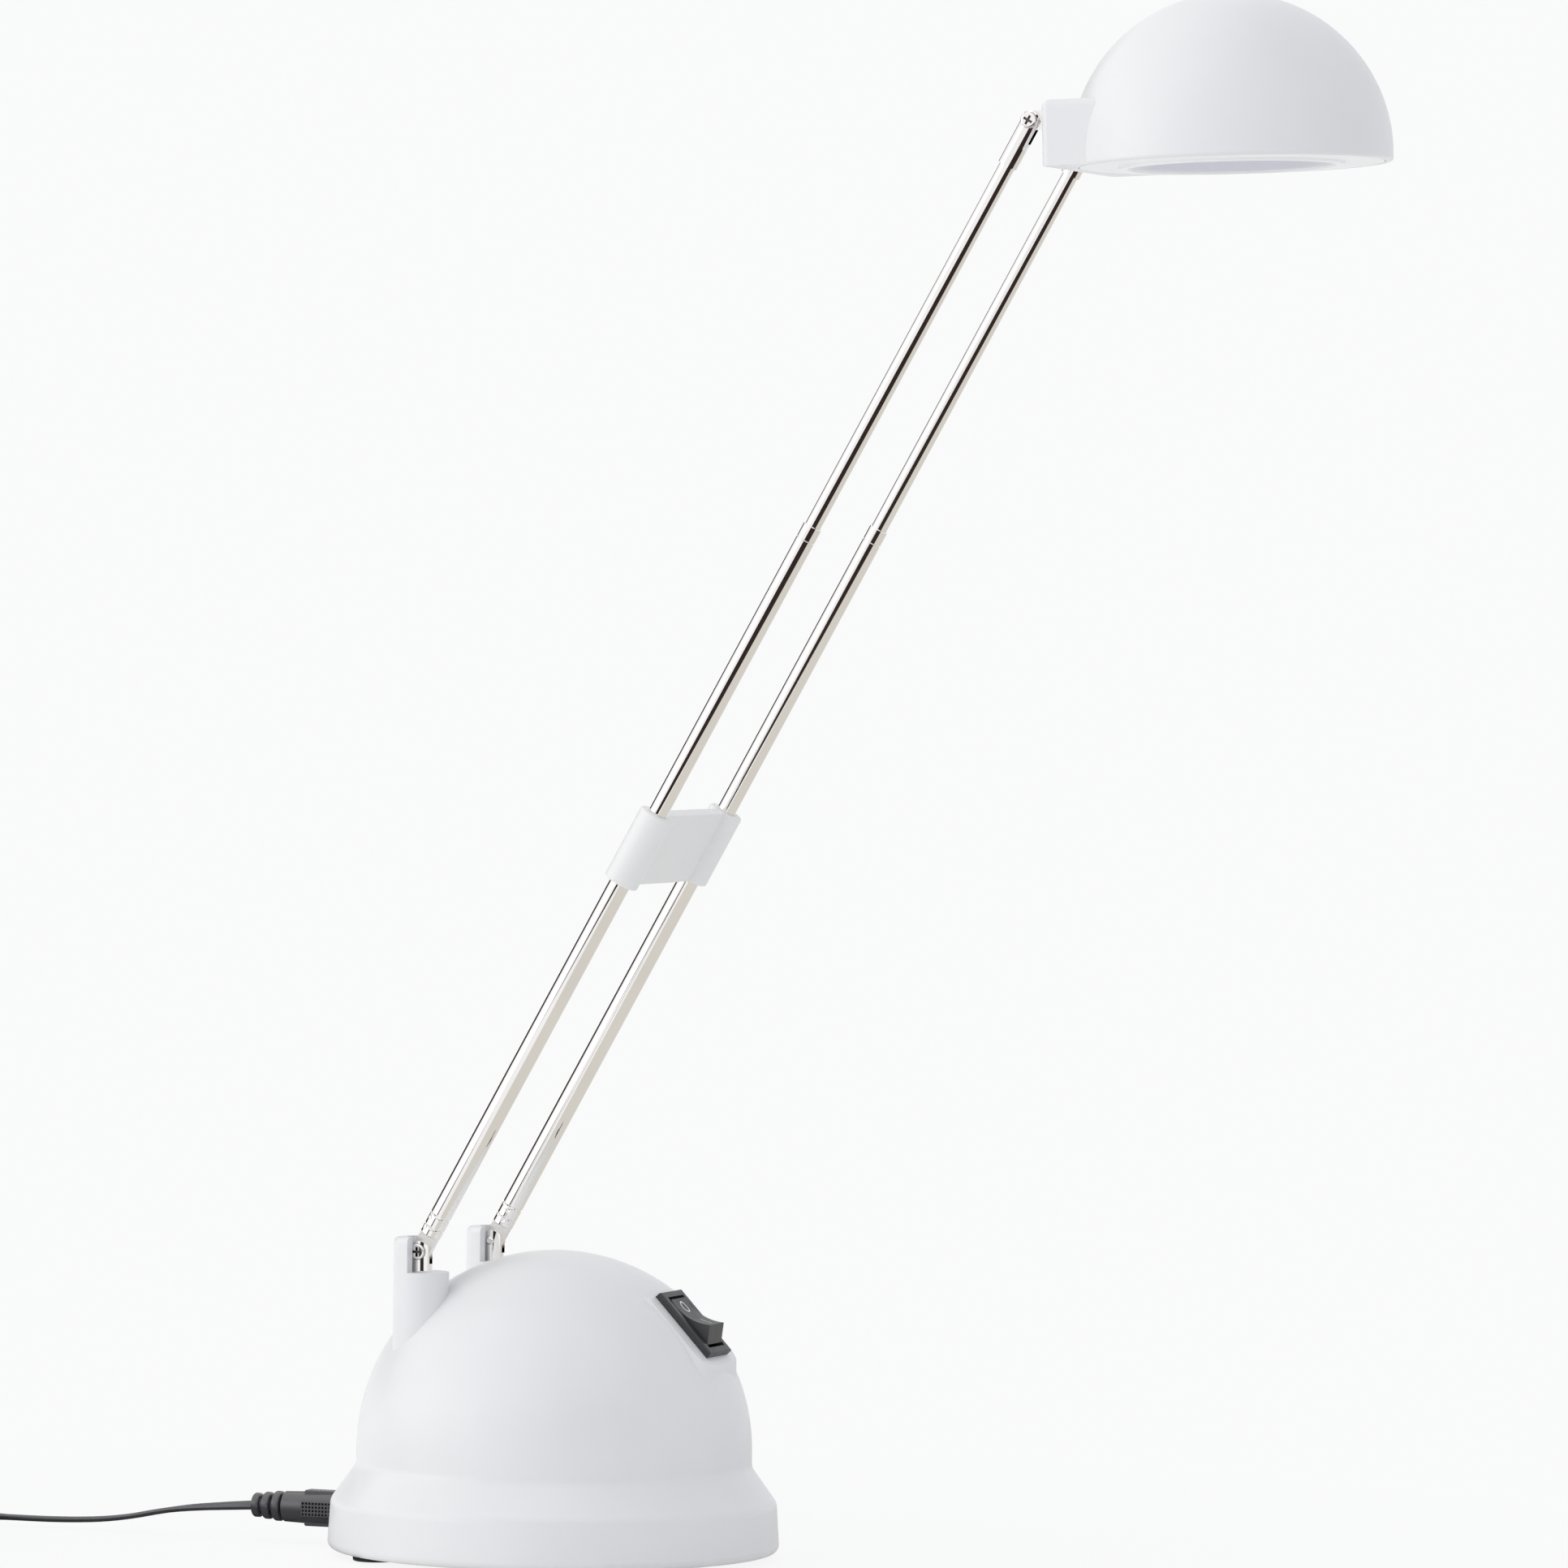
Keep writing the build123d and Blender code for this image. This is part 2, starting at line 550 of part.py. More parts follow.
def socket_tab(side, gap):
    """A solder tab standing out of the socket's roof."""
    top = SOCKET_Z + SOCKET_H / 2
    x = SKIRT_REAR_X + SOCKET_DEPTH + SOCKET_BACK / 2
    y = side * SOCKET_TAB_PITCH / 2
    half_w, half_t = SOCKET_TAB_W / 2 + gap, SOCKET_TAB_T / 2 + gap
    return block(x - half_t, x + half_t, y - half_w, y + half_w, top - 1.5, top + SOCKET_TAB_RISE)


def socket_pin():
    back = SKIRT_REAR_X + SOCKET_DEPTH + SOCKET_BACK
    pin = rod_x(SOCKET_PIN_R, SKIRT_REAR_X + SOCKET_BACK, back, 0, SOCKET_Z)
    return chamfer(pin.edges().sort_by(Axis.X)[0], SOCKET_PIN_R * 0.3)


def socket_tabs():
    return [socket_tab(side, 0) for side in SIDES.values()]


# Forks, screws, nuts and tags


def fork(radius, bottom, slot_depth):
    """A round-ended clevis about a pivot at the origin, its axis along Z."""
    stem = rod(radius, bottom, radius)
    end = block(-radius, radius, -radius, radius, bottom, 0) + rod_y(radius, -radius, radius)
    body = stem & end
    body -= block(-radius, radius, -FORK_SLOT / 2, FORK_SLOT / 2, -slot_depth, radius)
    body -= rod_y(PIVOT_SCREW_R + FIXED_GAP, -radius, radius)
    return body - rod_y(PIVOT_HEAD_R + FIXED_GAP, HEAD_SEAT, radius)


def facing(side):
    """Turns a fork or screw so that its screw head is on the lamp's outer side."""
    return Rot(0, 0, 90 - 90 * side)


def pivot_screw(radius):
    grip = HEAD_SEAT + radius + SCREW_TIP
    one = screw(PIVOT_SCREW_R, grip, PIVOT_HEAD_R, PIVOT_HEAD_T)
    return Pos(0, HEAD_SEAT, 0) * Rot(-90, 0, 0) * one


def lower_place(side):
    return Pos(-ROD_SETBACK, side * ROD_Y, PIVOT_Z) * facing(side)


def lower_fork(side):
    body = fork(FORK_R, -PIVOT_RISE, SLOT_DEPTH)
    body += rod(SHANK_R, NUT_Z - PIVOT_Z - 1, -PIVOT_RISE)
    return lower_place(side) * body


def lower_pivot_screws():
    return [lower_place(side) * pivot_screw(FORK_R) for side in SIDES.values()]


def fork_nuts():
    nut = Pos(0, 0, NUT_Z) * extrude(RegularPolygon(NUT_FLATS / 2, 6, major_radius=False), NUT_T)
    nut -= rod(SHANK_R + FIXED_GAP, NUT_Z, NUT_Z + NUT_T)
    return [Pos(-ROD_SETBACK, side * ROD_Y, 0) * nut for side in SIDES.values()]


def solder_tags():
    half = TAG_TAIL_W / 2
    tag = rod(TAG_R, TAG_Z, TAG_Z + TAG_T) + block(0, TAG_R + TAG_TAIL, -half, half, TAG_Z, TAG_Z + TAG_T)
    tag -= rod(SHANK_R + FIXED_GAP, TAG_Z, TAG_Z + TAG_T)
    return [Pos(-ROD_SETBACK, side * ROD_Y, 0) * tag for side in SIDES.values()]


# Wires inside the base and the head


def wire(points):
    """A round wire along straight runs with arcs as large as the runs allow."""
    return tube_along(points, WIRE_R)


def tube_along(points, radius):
    """A tube of straight runs and tangent arcs, each arc as large as its runs allow."""
    route = [Vector(*p) for p in points]
    runs = [b - a for a, b in zip(route, route[1:])]
    radii = []
    for a, b in zip(runs, runs[1:]):
        half_turn = math.radians(a.get_angle(b)) / 2
        radii.append(0.45 * min(a.length, b.length) / math.tan(half_turn))
    path = FilletPolyline(*route, radius=radii) if radii else Line(*route)
    body = sweep(Plane(origin=route[0], z_dir=runs[0]) * Circle(radius), path=path)
    expected = math.pi * radius**2 * path.length
    share = body.volume / expected
    print(f"tube length {path.length:.1f}, volume share {share:.4f}, radii {[round(r, 1) for r in radii]}")
    return body


def tag_end(side):
    """Where a wire meets a solder tag's tail."""
    return (-ROD_SETBACK + TAG_R + TAG_TAIL + FIXED_GAP, side * ROD_Y, TAG_Z + TAG_T / 2)


def terminal_end(x, out=0.0):
    """A point below a switch terminal's tip, in the lamp's frame."""
    depth = BEZEL_T + SWITCH_BODY_H + TERMINAL_LENGTH + FIXED_GAP + out
    return (SWITCH * Pos(x, 0, -depth)).position


def socket_end(side, out=0.0):
    """A point above a socket tab's tip."""
    x = SKIRT_REAR_X + SOCKET_DEPTH + SOCKET_BACK / 2
    z = SOCKET_Z + SOCKET_H / 2 + SOCKET_TAB_RISE + FIXED_GAP + out
    return (x, side * SOCKET_TAB_PITCH / 2, z)


def socket_wire(side):
    """The wire's first points: out of a socket tab, then in under the dome."""
    inside = DOME_BORE_R - WIRE_DOME_CLEAR
    under = (-inside, side * SOCKET_TAB_PITCH / 2, SHOULDER_TOP_Z + WIRE_DOME_RISE)
    return [socket_end(side), socket_end(side, WIRE_RISE), under]


def lead_socket_to_switch():
    x = -TERMINAL_PITCH / 2
    ends = [terminal_end(x, WIRE_SWITCH_RISE), terminal_end(x)]
    return wire([*socket_wire(1), *SWITCH_WIRE_ROUTE, *ends])


def lead_switch_to_fork():
    x, y, z = tag_end(1)
    starts = [terminal_end(TERMINAL_PITCH / 2, out) for out in (0, WIRE_TAG_RUN)]
    return wire([*starts, *LEFT_TAG_ROUTE, (x + WIRE_TAG_RUN, y, z), (x, y, z)])


def lead_socket_to_fork():
    x, y, z = tag_end(-1)
    return wire([*socket_wire(-1), *RIGHT_TAG_ROUTE, (x + WIRE_TAG_RUN, y, z), (x, y, z)])


# Arms, drawn upright about the lower pivot


def tube(radius, wall, z0, z1, y):
    return rod(radius, z0, z1, 0, y) - rod(radius - wall, z0, z1, 0, y)


def lower_knuckle(side):
    y = side * ROD_Y
    half = TONGUE_T / 2
    root = OUTER_TUBE_FROM
    body = block(-TONGUE_ROUND, TONGUE_ROUND, y - half, y + half, 0, root)
    body += rod_y(TONGUE_ROUND, y - half, y + half)
    body += rod(OUTER_BORE_R - FIXED_GAP, root, root + KNUCKLE_PLUG, 0, y)
    return ARM * (body - rod_y(PIVOT_SCREW_R + RUNNING_GAP, y - half, y + half))


def outer_tube(side):
    y = side * ROD_Y
    body = tube(OUTER_TUBE_R, OUTER_TUBE_WALL, OUTER_TUBE_FROM, OUTER_TUBE_TO, y)
    for place in CRIMP_PLACES:
        body -= Pos(0, y, OUTER_TUBE_FROM + place) * Torus(OUTER_TUBE_R, CRIMP_GROOVE_R)
    return ARM * body


def spacer_clip():
    half_t = SPACER_WEB_T / 2
    body = block(-half_t, half_t, -ROD_Y, ROD_Y, SPACER_FROM, SPACER_TO)
    for side in SIDES.values():
        sleeve = rod(SPACER_SLEEVE_R, SPACER_FROM, SPACER_TO, 0, side * ROD_Y)
        body += fillet(sleeve.edges().filter_by(GeomType.CIRCLE), SPACER_ROUND)
    for side in SIDES.values():
        y = side * ROD_Y
        body -= rod(OUTER_TUBE_R + FIXED_GAP, SPACER_FROM, OUTER_TUBE_TO, 0, y)
        body -= rod(MIDDLE_TUBE_R + RUNNING_GAP, OUTER_TUBE_TO, SPACER_TO, 0, y)
    return ARM * body


def middle_tube(side):
    y = side * ROD_Y
    body = rod(MIDDLE_TUBE_R, MIDDLE_TUBE_TO - MIDDLE_TUBE_LENGTH, MIDDLE_TUBE_TO, 0, y)
    body = chamfer(body.edges().sort_by(Axis.Z)[-1], TUBE_END_CHAMFER)
    body -= Pos(0, y, MIDDLE_TUBE_TO - NECK_RING_DROP) * Torus(MIDDLE_TUBE_R, TUBE_END_CHAMFER)
    return ARM * (body - rod(MIDDLE_BORE_R, MIDDLE_TUBE_TO - MIDDLE_TUBE_LENGTH, MIDDLE_TUBE_TO, 0, y))


def inner_tube(side):
    y = side * ROD_Y
    return ARM * tube(INNER_TUBE_R, INNER_TUBE_WALL, INNER_TUBE_TO - INNER_TUBE_LENGTH, INNER_TUBE_TO, y)


def friction_collar(head_r, spigot_r, tube_end, y):
    """A plug in a sliding tube's lower end, whose head runs in the tube outside."""
    head = rod(head_r, tube_end - COLLAR_HEAD, tube_end, 0, y)
    head = chamfer(head.edges().sort_by(Axis.Z)[0], COLLAR_HEAD * 0.2)
    return ARM * (head + rod(spigot_r, tube_end - COLLAR_HEAD / 2, tube_end + COLLAR_SPIGOT, 0, y))


def middle_collars():
    end = MIDDLE_TUBE_TO - MIDDLE_TUBE_LENGTH
    head_r, spigot_r = OUTER_BORE_R - FIXED_GAP, MIDDLE_BORE_R - FIXED_GAP
    return [friction_collar(head_r, spigot_r, end, side * ROD_Y) for side in SIDES.values()]


def inner_collars():
    end = INNER_TUBE_TO - INNER_TUBE_LENGTH
    head_r, spigot_r = MIDDLE_BORE_R - FIXED_GAP, INNER_BORE_R - FIXED_GAP
    return [friction_collar(head_r, spigot_r, end, side * ROD_Y) for side in SIDES.values()]


def upper_place(side):
    return ARM * Pos(0, side * ROD_Y, ARM_LENGTH) * facing(side)


def upper_fork(side):
    body = fork(UPPER_FORK_R, -UPPER_FORK_LENGTH, UPPER_SLOT_DEPTH)
    body -= rod(INNER_TUBE_R + FIXED_GAP, -UPPER_FORK_LENGTH, UPPER_FORK_SOCKET - UPPER_FORK_LENGTH)
    return upper_place(side) * body


def upper_pivot_screws():
    return [upper_place(side) * pivot_screw(UPPER_FORK_R) for side in SIDES.values()]


# Head, drawn level about the upper pivot


def dome(radius, floor):
    """The part of a ball on the head's axis above floor."""
    ball = Pos(HEAD_REACH, 0, HEAD_CENTRE_Z) * Sphere(radius)
    size = 2 * HEAD_R
    return ball & block(HEAD_REACH - size, HEAD_REACH + size, -size, size, floor, size)


def on_axis(shape):
    return Pos(HEAD_REACH, 0, 0) * shape


def head_shell():
    half_ball = dome(HEAD_R, RIM_Z)
    half_ball = fillet(half_ball.edges().filter_by(GeomType.CIRCLE).sort_by(Axis.Z)[0], RIM_ROUND)
    neck = block(NECK_REAR, HEAD_REACH, -NECK_HALF_W, NECK_HALF_W, RIM_Z, NECK_TOP)
    rear = neck.edges().filter_by(Axis.Z).sort_by(Axis.X)[:2]
    crown = neck.edges().filter_by(Axis.X).sort_by(Axis.Z)[-2:]
    back = neck.edges().filter_by(Axis.Y).group_by(Axis.X)[0].sort_by(Axis.Z)[-1:]
    body = half_ball + fillet(rear + crown + back, NECK_ROUND)
    body -= dome(HEAD_R - HEAD_WALL, COVER_TOP_Z)
    inner = NECK_REAR + NECK_REAR_WALL
    half_w = NECK_HALF_W - HEAD_WALL
    body -= block(inner, HEAD_REACH, -half_w, half_w, COVER_TOP_Z, NECK_TOP - HEAD_WALL)
    rib = rod(HEAD_R - HEAD_WALL / 2, COVER_TOP_Z, COVER_TOP_Z + LEDGE_T)
    rib -= rod(COVER_R - LEDGE_W, COVER_TOP_Z, COVER_TOP_Z + LEDGE_T)
    body += on_axis(rib) & dome(HEAD_R - HEAD_WALL / 2, RIM_Z)
    body -= on_axis(rod(COVER_R + COVER_GAP, RIM_Z, COVER_TOP_Z))
    for side in SIDES.values():
        y = side * ROD_Y
        half_t, half_h = TONGUE_T / 2 + FIXED_GAP, TONGUE_ROUND + FIXED_GAP
        body -= block(0, 2 * inner, y - half_t, y + half_t, -half_h, half_h)
        pilot_y = y - side * TONGUE_SCREW_IN
        body -= rod_x(SMALL_SCREW_R + FIXED_GAP, inner - TONGUE_SCREW_GRIP, inner, pilot_y)
    return HEAD * body


def head_cover():
    cover = rod(COVER_R, RIM_Z, COVER_TOP_Z)
    for x, y, _ in ring_places(SPREADER_SCREWS, SPREADER_POST_RING):
        post_body = rod(SPREADER_POST_R, COVER_TOP_Z, SPREADER_Z, x, y)
        cover += post_body - rod(SMALL_SCREW_R + FIXED_GAP, SPREADER_Z - SMALL_SCREW_GRIP, SPREADER_Z, x, y)
    ledge_r = COVER_R - LEDGE_W
    foot_z = COVER_TOP_Z + LEDGE_T + FIXED_GAP
    for angle in (45 + 360 * i / HOOK_COUNT for i in range(HOOK_COUNT)):
        stem_r = ledge_r - COVER_GAP - HOOK_BARB
        inner_r, tip_r = stem_r - HOOK_T, stem_r + 2 * HOOK_BARB
        hook = block(inner_r, stem_r, -HOOK_W / 2, HOOK_W / 2, COVER_TOP_Z, foot_z + HOOK_RISE)
        hook += block(inner_r, tip_r, -HOOK_W / 2, HOOK_W / 2, foot_z, foot_z + HOOK_T)
        cover += Rot(0, 0, angle) * hook
    cover -= rod(BEZEL_COLLAR_R + FIXED_GAP, RIM_Z, COVER_TOP_Z)
    return HEAD * on_axis(cover)


def bezel_ring():
    mouth_z = RIM_Z - BEZEL_PROUD
    outline = [
        (BEZEL_MOUTH_R, mouth_z),
        (BEZEL_R, mouth_z),
        (BEZEL_R, RIM_Z),
        (BEZEL_COLLAR_R, RIM_Z),
        (BEZEL_COLLAR_R, COVER_TOP_Z),
        (BEZEL_THROAT_R, COVER_TOP_Z),
        (BEZEL_THROAT_R, COVER_TOP_Z - BEZEL_LAND),
    ]
    return HEAD * on_axis(turned(outline))


def diffuser():
    """A lens that fills the bezel's throat, hung by its rim on the bezel's inner end."""
    lens = rod(BEZEL_THROAT_R - COVER_GAP, RIM_Z - BEZEL_PROUD + DIFFUSER_RECESS, DIFFUSER_TOP_Z)
    return HEAD * on_axis(lens + rod(DIFFUSER_R, COVER_TOP_Z, DIFFUSER_TOP_Z))


def reflector_cup():
    top, wall = REFLECTOR_TOP_R, REFLECTOR_WALL
    outline = [
        (DIFFUSER_R - wall, DIFFUSER_TOP_Z),
        (DIFFUSER_R, DIFFUSER_TOP_Z),
        (top + wall, BOARD_Z),
        (top, BOARD_Z),
    ]
    return HEAD * on_axis(turned(outline))


def led_board():
    return HEAD * on_axis(rod(BOARD_R, BOARD_Z, BOARD_Z + BOARD_T))


def led_chips():
    half = LED_SIZE / 2
    chip = block(-half, half, -half, half, BOARD_Z - LED_T, BOARD_Z)
    places = ring_places(LED_COUNT, LED_RING_R)
    return [HEAD * on_axis(Pos(x, y, 0) * Rot(0, 0, a) * chip) for x, y, a in places]


def heat_spreader():
    plate = rod(SPREADER_R, SPREADER_Z, SPREADER_Z + SPREADER_T)
    size = 2 * SPREADER_R
    plate -= block(-size, -SPREADER_FLAT, -size, size, SPREADER_Z, SPREADER_Z + SPREADER_T)
    for x, y, _ in ring_places(SPREADER_SCREWS, SPREADER_POST_RING):
        plate -= rod(SMALL_SCREW_R + COVER_GAP, SPREADER_Z, SPREADER_Z + SPREADER_T, x, y)
    return HEAD * on_axis(plate)


def spreader_screws():
    one = screw(SMALL_SCREW_R, SMALL_SCREW_GRIP, SMALL_HEAD_R, SMALL_HEAD_T)
    top = SPREADER_Z + SPREADER_T
    places = ring_places(SPREADER_SCREWS, SPREADER_POST_RING)
    return [HEAD * on_axis(Pos(x, y, top) * one) for x, y, _ in places]


def tongue(side):
    """A flat tongue through the neck's rear wall, with a flange screwed inside."""
    y, half = side * ROD_Y, TONGUE_T / 2
    inner = NECK_REAR + NECK_REAR_WALL
    body = block(0, TONGUE_REACH, y - half, y + half, -TONGUE_ROUND, TONGUE_ROUND)
    body += rod_y(TONGUE_ROUND, y - half, y + half)
    ends = sorted((y + side * half, y - side * TONGUE_FLANGE_W))
    half_h = TONGUE_FLANGE_H / 2
    body += block(inner, inner + TONGUE_FLANGE_T, *ends, -half_h, half_h)
    body -= rod_y(PIVOT_SCREW_R + RUNNING_GAP, y - half, y + half)
    screw_y = y - side * TONGUE_SCREW_IN
    return HEAD * (body - rod_x(SMALL_SCREW_R + FIXED_GAP, inner, inner + TONGUE_FLANGE_T, screw_y))


def tongue_screws():
    one = screw(SMALL_SCREW_R, TONGUE_FLANGE_T + TONGUE_SCREW_GRIP, SMALL_HEAD_R, SMALL_HEAD_T)
    seat = NECK_REAR + NECK_REAR_WALL + TONGUE_FLANGE_T
    places = [side * (ROD_Y - TONGUE_SCREW_IN) for side in SIDES.values()]
    return [HEAD * Pos(seat, y, 0) * Rot(0, 90, 0) * one for y in places]


def head_leads():
    """A wire from each tongue to the LED board's edge."""
    made = []
    reach = (BOARD_R + FIXED_GAP) * math.sqrt(0.5)
    for side in SIDES.values():
        y = side * ROD_Y
        start = (TONGUE_REACH + FIXED_GAP, y, 0)
        bend = (TONGUE_REACH + HEAD_WIRE_RUN, y, 0)
        edge = Vector(HEAD_REACH - reach, side * reach, BOARD_Z + BOARD_T / 2)
        outside = edge - Vector(HEAD_WIRE_TURN, -HEAD_WIRE_TURN * side, 0)
        made.append(HEAD * wire([start, bend, outside, edge]))
    return made


# Plug, lead, coil and adapter


def plug_body():
    """A tapered moulding with flat grip pads, then ribs that shrink along the lead."""
    taper = turned([(0, 0), (PLUG_R, 0), (PLUG_END_R, PLUG_LENGTH), (0, PLUG_LENGTH)])
    length = RIB_COUNT * RIB_PITCH
    taper += rod(RIB_CORE_R, PLUG_LENGTH, PLUG_LENGTH + length)
    for i in range(RIB_COUNT):
        radius = RIB_FIRST_R - i * RIB_STEP_R
        start = PLUG_LENGTH + (i + 1) * RIB_PITCH - RIB_T
        rib = rod(radius, start, start + RIB_T)
        taper += fillet(rib.edges().filter_by(GeomType.CIRCLE), RIB_T * 0.3)
        web, half_w = radius - RIB_T * 0.3, RIB_WEB_W / 2
        taper += block(-web, web, -half_w, half_w, start - RIB_PITCH + RIB_T, start + RIB_T / 2)
    pad = block(0, PLUG_R - GRIP_SUNK, -GRIP_W / 2, GRIP_W / 2, GRIP_FROM, GRIP_TO)
    for i in range(GRIP_COUNT):
        taper += Rot(0, 0, 360 * i / GRIP_COUNT) * pad
    taper -= rod(BARREL_R + FIXED_GAP, 0, BARREL_ROOT)
    return Pos(PLUG_FACE_X, 0, SOCKET_Z) * Rot(0, -90, 0) * taper


def plug_barrel():
    start, end = PLUG_FACE_X - BARREL_ROOT, PLUG_FACE_X + BARREL_LENGTH
    body = rod_x(BARREL_R, start, end, 0, SOCKET_Z)
    body = chamfer(body.edges().sort_by(Axis.X)[-1], BARREL_WALL / 2)
    return body - rod_x(BARREL_R - BARREL_WALL, start, end, 0, SOCKET_Z)


def plug_insulator():
    start, end = PLUG_FACE_X - BARREL_ROOT, PLUG_FACE_X + BARREL_LENGTH - BARREL_WALL
    body = rod_x(BARREL_R - BARREL_WALL - FIXED_GAP, start, end, 0, SOCKET_Z)
    return body - rod_x(SOCKET_PIN_R + RUNNING_GAP, start, end, 0, SOCKET_Z)


def coil_point(turn):
    """Place on the coil's centre line after a number of turns."""
    per_layer = COIL_TURNS / COIL_LAYERS
    layer = min(int(turn / per_layer), COIL_LAYERS - 1)
    into = turn - layer * per_layer
    reversal = round(turn / per_layer)
    from_reversal = turn - reversal * per_layer
    inwards = layer % 2 == 0
    share = into if inwards else per_layer - into
    height = layer
    if 0 < reversal < COIL_LAYERS and abs(from_reversal) < 0.25:
        bend = 2 * from_reversal**2 + 0.125
        share = per_layer - bend if reversal % 2 else bend
        height = reversal - 0.5 + 0.5 * math.sin(2 * math.pi * from_reversal)
    radius = COIL_MEAN_R + COIL_SWING - COIL_PITCH * share
    angle = math.radians(COIL_START + 360 * turn)
    x, y = COIL_X + radius * math.cos(angle), COIL_Y + radius * math.sin(angle)
    return Vector(x, y, COIL_Z + COIL_PITCH * height)


def coil_heading(turn):
    step = 1e-5
    low, high = max(turn - step, 0), min(turn + step, COIL_TURNS)
    return (coil_point(high) - coil_point(low)).normalized()


def biarc(start, heading, end, end_heading):
    """Two tangent arcs from one place and heading to another."""
    gap = end - start
    both = heading + end_heading
    a = 2 * (1 - heading.dot(end_heading))
    b = gap.dot(both)
    reach = (math.sqrt(b * b + a * gap.dot(gap)) - b) / a
    first, last = start + heading * reach, end - end_heading * reach
    middle = (first + last) / 2
    return [
        Edge.make_tangent_arc(start, heading, middle),
        Edge.make_tangent_arc(middle, last - first, end),
    ]


def coil_gap():
    """The coil's least distance to itself, skin to skin, measured on points."""
    steps = 36
    points = [coil_point(i / steps) for i in range(int(COIL_TURNS * steps) + 1)]
    skip = steps // 2
    least = min(
        (points[j] - points[i]).length for i in range(len(points)) for j in range(i + skip, len(points))
    )
    return least - LEAD_D


def lead_coil():
    quarters = int(COIL_TURNS * 4)
    turns = [i / 4 for i in range(quarters + 1)]
    points = [coil_point(t) for t in turns]
    headings = [coil_heading(t) for t in turns]
    edges = [Edge.make_line(points[0] - headings[0] * LEAD_D, points[0])]
    for i in range(quarters):
        edges += biarc(points[i], headings[i], points[i + 1], headings[i + 1])
    edges.append(Edge.make_line(points[-1], points[-1] + headings[-1] * LEAD_D))
    path = Wire(edges)
    start = Plane(origin=points[0] - headings[0] * LEAD_D, z_dir=headings[0])
    body = sweep(start * Circle(LEAD_R), path=path)
    share = body.volume / (math.pi * LEAD_R**2 * path.length)
    print(f"coil length {path.length:.1f}, volume share {share:.4f}, least gap {coil_gap():.3f}")
    return body


def coil_entry(back=0.0):
    return coil_point(0) - coil_heading(0) * (LEAD_D + back)


def coil_exit(on=0.0):
    return coil_point(COIL_TURNS) + coil_heading(COIL_TURNS) * (LEAD_D + on)


LEAD_ROUTE = [
    (RELIEF_END_X - LEAD_END_GAP, 0, SOCKET_Z),
    (-97.0, 0, 8.3),
    (-110.0, 1.0, 6.8),
    (-126.0, 3.6, 3.3),
    (-143.0, 5.2, 2.0),
    coil_entry(COIL_LEAD_IN),
    coil_entry(),
]


def supply_lead():
    return tube_along(LEAD_ROUTE, LEAD_R)


def lead_tail():
    return tube_along([coil_exit(), coil_exit(ADAPTER_TAIL)], LEAD_R)


def lead_tie():
    """A flat band round the coil's bundle of turns."""
    low_r = COIL_MEAN_R - COIL_SWING - LEAD_R - TIE_BORE_GAP
    high_r = COIL_MEAN_R + COIL_SWING + LEAD_R + TIE_GAP
    top = COIL_TOP_Z + LEAD_R + TIE_GAP
    half = TIE_W / 2
    band = block(low_r - TIE_T, high_r + TIE_T, -half, half, 0, top + TIE_T)
    band = fillet(band.edges().filter_by(Axis.Y), 2 * TIE_T)
    band -= block(low_r, high_r, -half, half, TIE_T, top)
    return Pos(COIL_X, COIL_Y, 0) * Rot(0, 0, TIE_ANGLE) * band


ADAPTER_MOUTH = coil_exit(ADAPTER_TAIL + LEAD_END_GAP)


def adapter_place(shape):
    """From the adapter's own frame: Y = 0 at its cord end, the body towards -Y."""
    return Pos(ADAPTER_MOUTH.X, ADAPTER_MOUTH.Y - ADAPTER_RELIEF_L, 0) * shape


def adapter_shell():
    half = ADAPTER_W / 2
    body = block(-half, half, -ADAPTER_L, 0, 0, ADAPTER_H)
    body = fillet(body.edges(), ADAPTER_ROUND)
    wall = ADAPTER_WALL
    return body - block(wall - half, half - wall, wall - ADAPTER_L, -wall, wall, ADAPTER_H - wall)


def adapter_case():
    """The adapter's lower half, with the lead's hole in its end wall."""
    split = ADAPTER_H - ADAPTER_COVER_H
    body = adapter_shell() & block(-ADAPTER_L, ADAPTER_L, -2 * ADAPTER_L, ADAPTER_L, 0, split)
    body -= rod_y(ADAPTER_RELIEF_R * 0.6 + FIXED_GAP, -2 * ADAPTER_WALL, ADAPTER_WALL, 0, ADAPTER_MOUTH.Z)
    return adapter_place(body)


def adapter_cover():
    split = ADAPTER_H - ADAPTER_COVER_H
    body = adapter_shell() & block(-ADAPTER_L, ADAPTER_L, -2 * ADAPTER_L, ADAPTER_L, split, ADAPTER_H)
    for x in (-MAINS_PIN_SPACING / 2, MAINS_PIN_SPACING / 2):
        body -= rod(MAINS_PIN_ROOT_R + FIXED_GAP, split, ADAPTER_H, x, MAINS_PIN_PLACE - ADAPTER_L)
    return adapter_place(body)


def adapter_relief():
    neck = rod_y(ADAPTER_RELIEF_R * 0.6, -ADAPTER_WALL, 0, 0, ADAPTER_MOUTH.Z)
    end_r, length = ADAPTER_RELIEF_END_R, ADAPTER_RELIEF_L
    outline = [(0, 0), (ADAPTER_RELIEF_R, 0), (end_r, length), (0, length)]
    horn = Pos(0, 0, ADAPTER_MOUTH.Z) * Rot(-90, 0, 0) * turned(outline)
    return adapter_place(neck + horn)


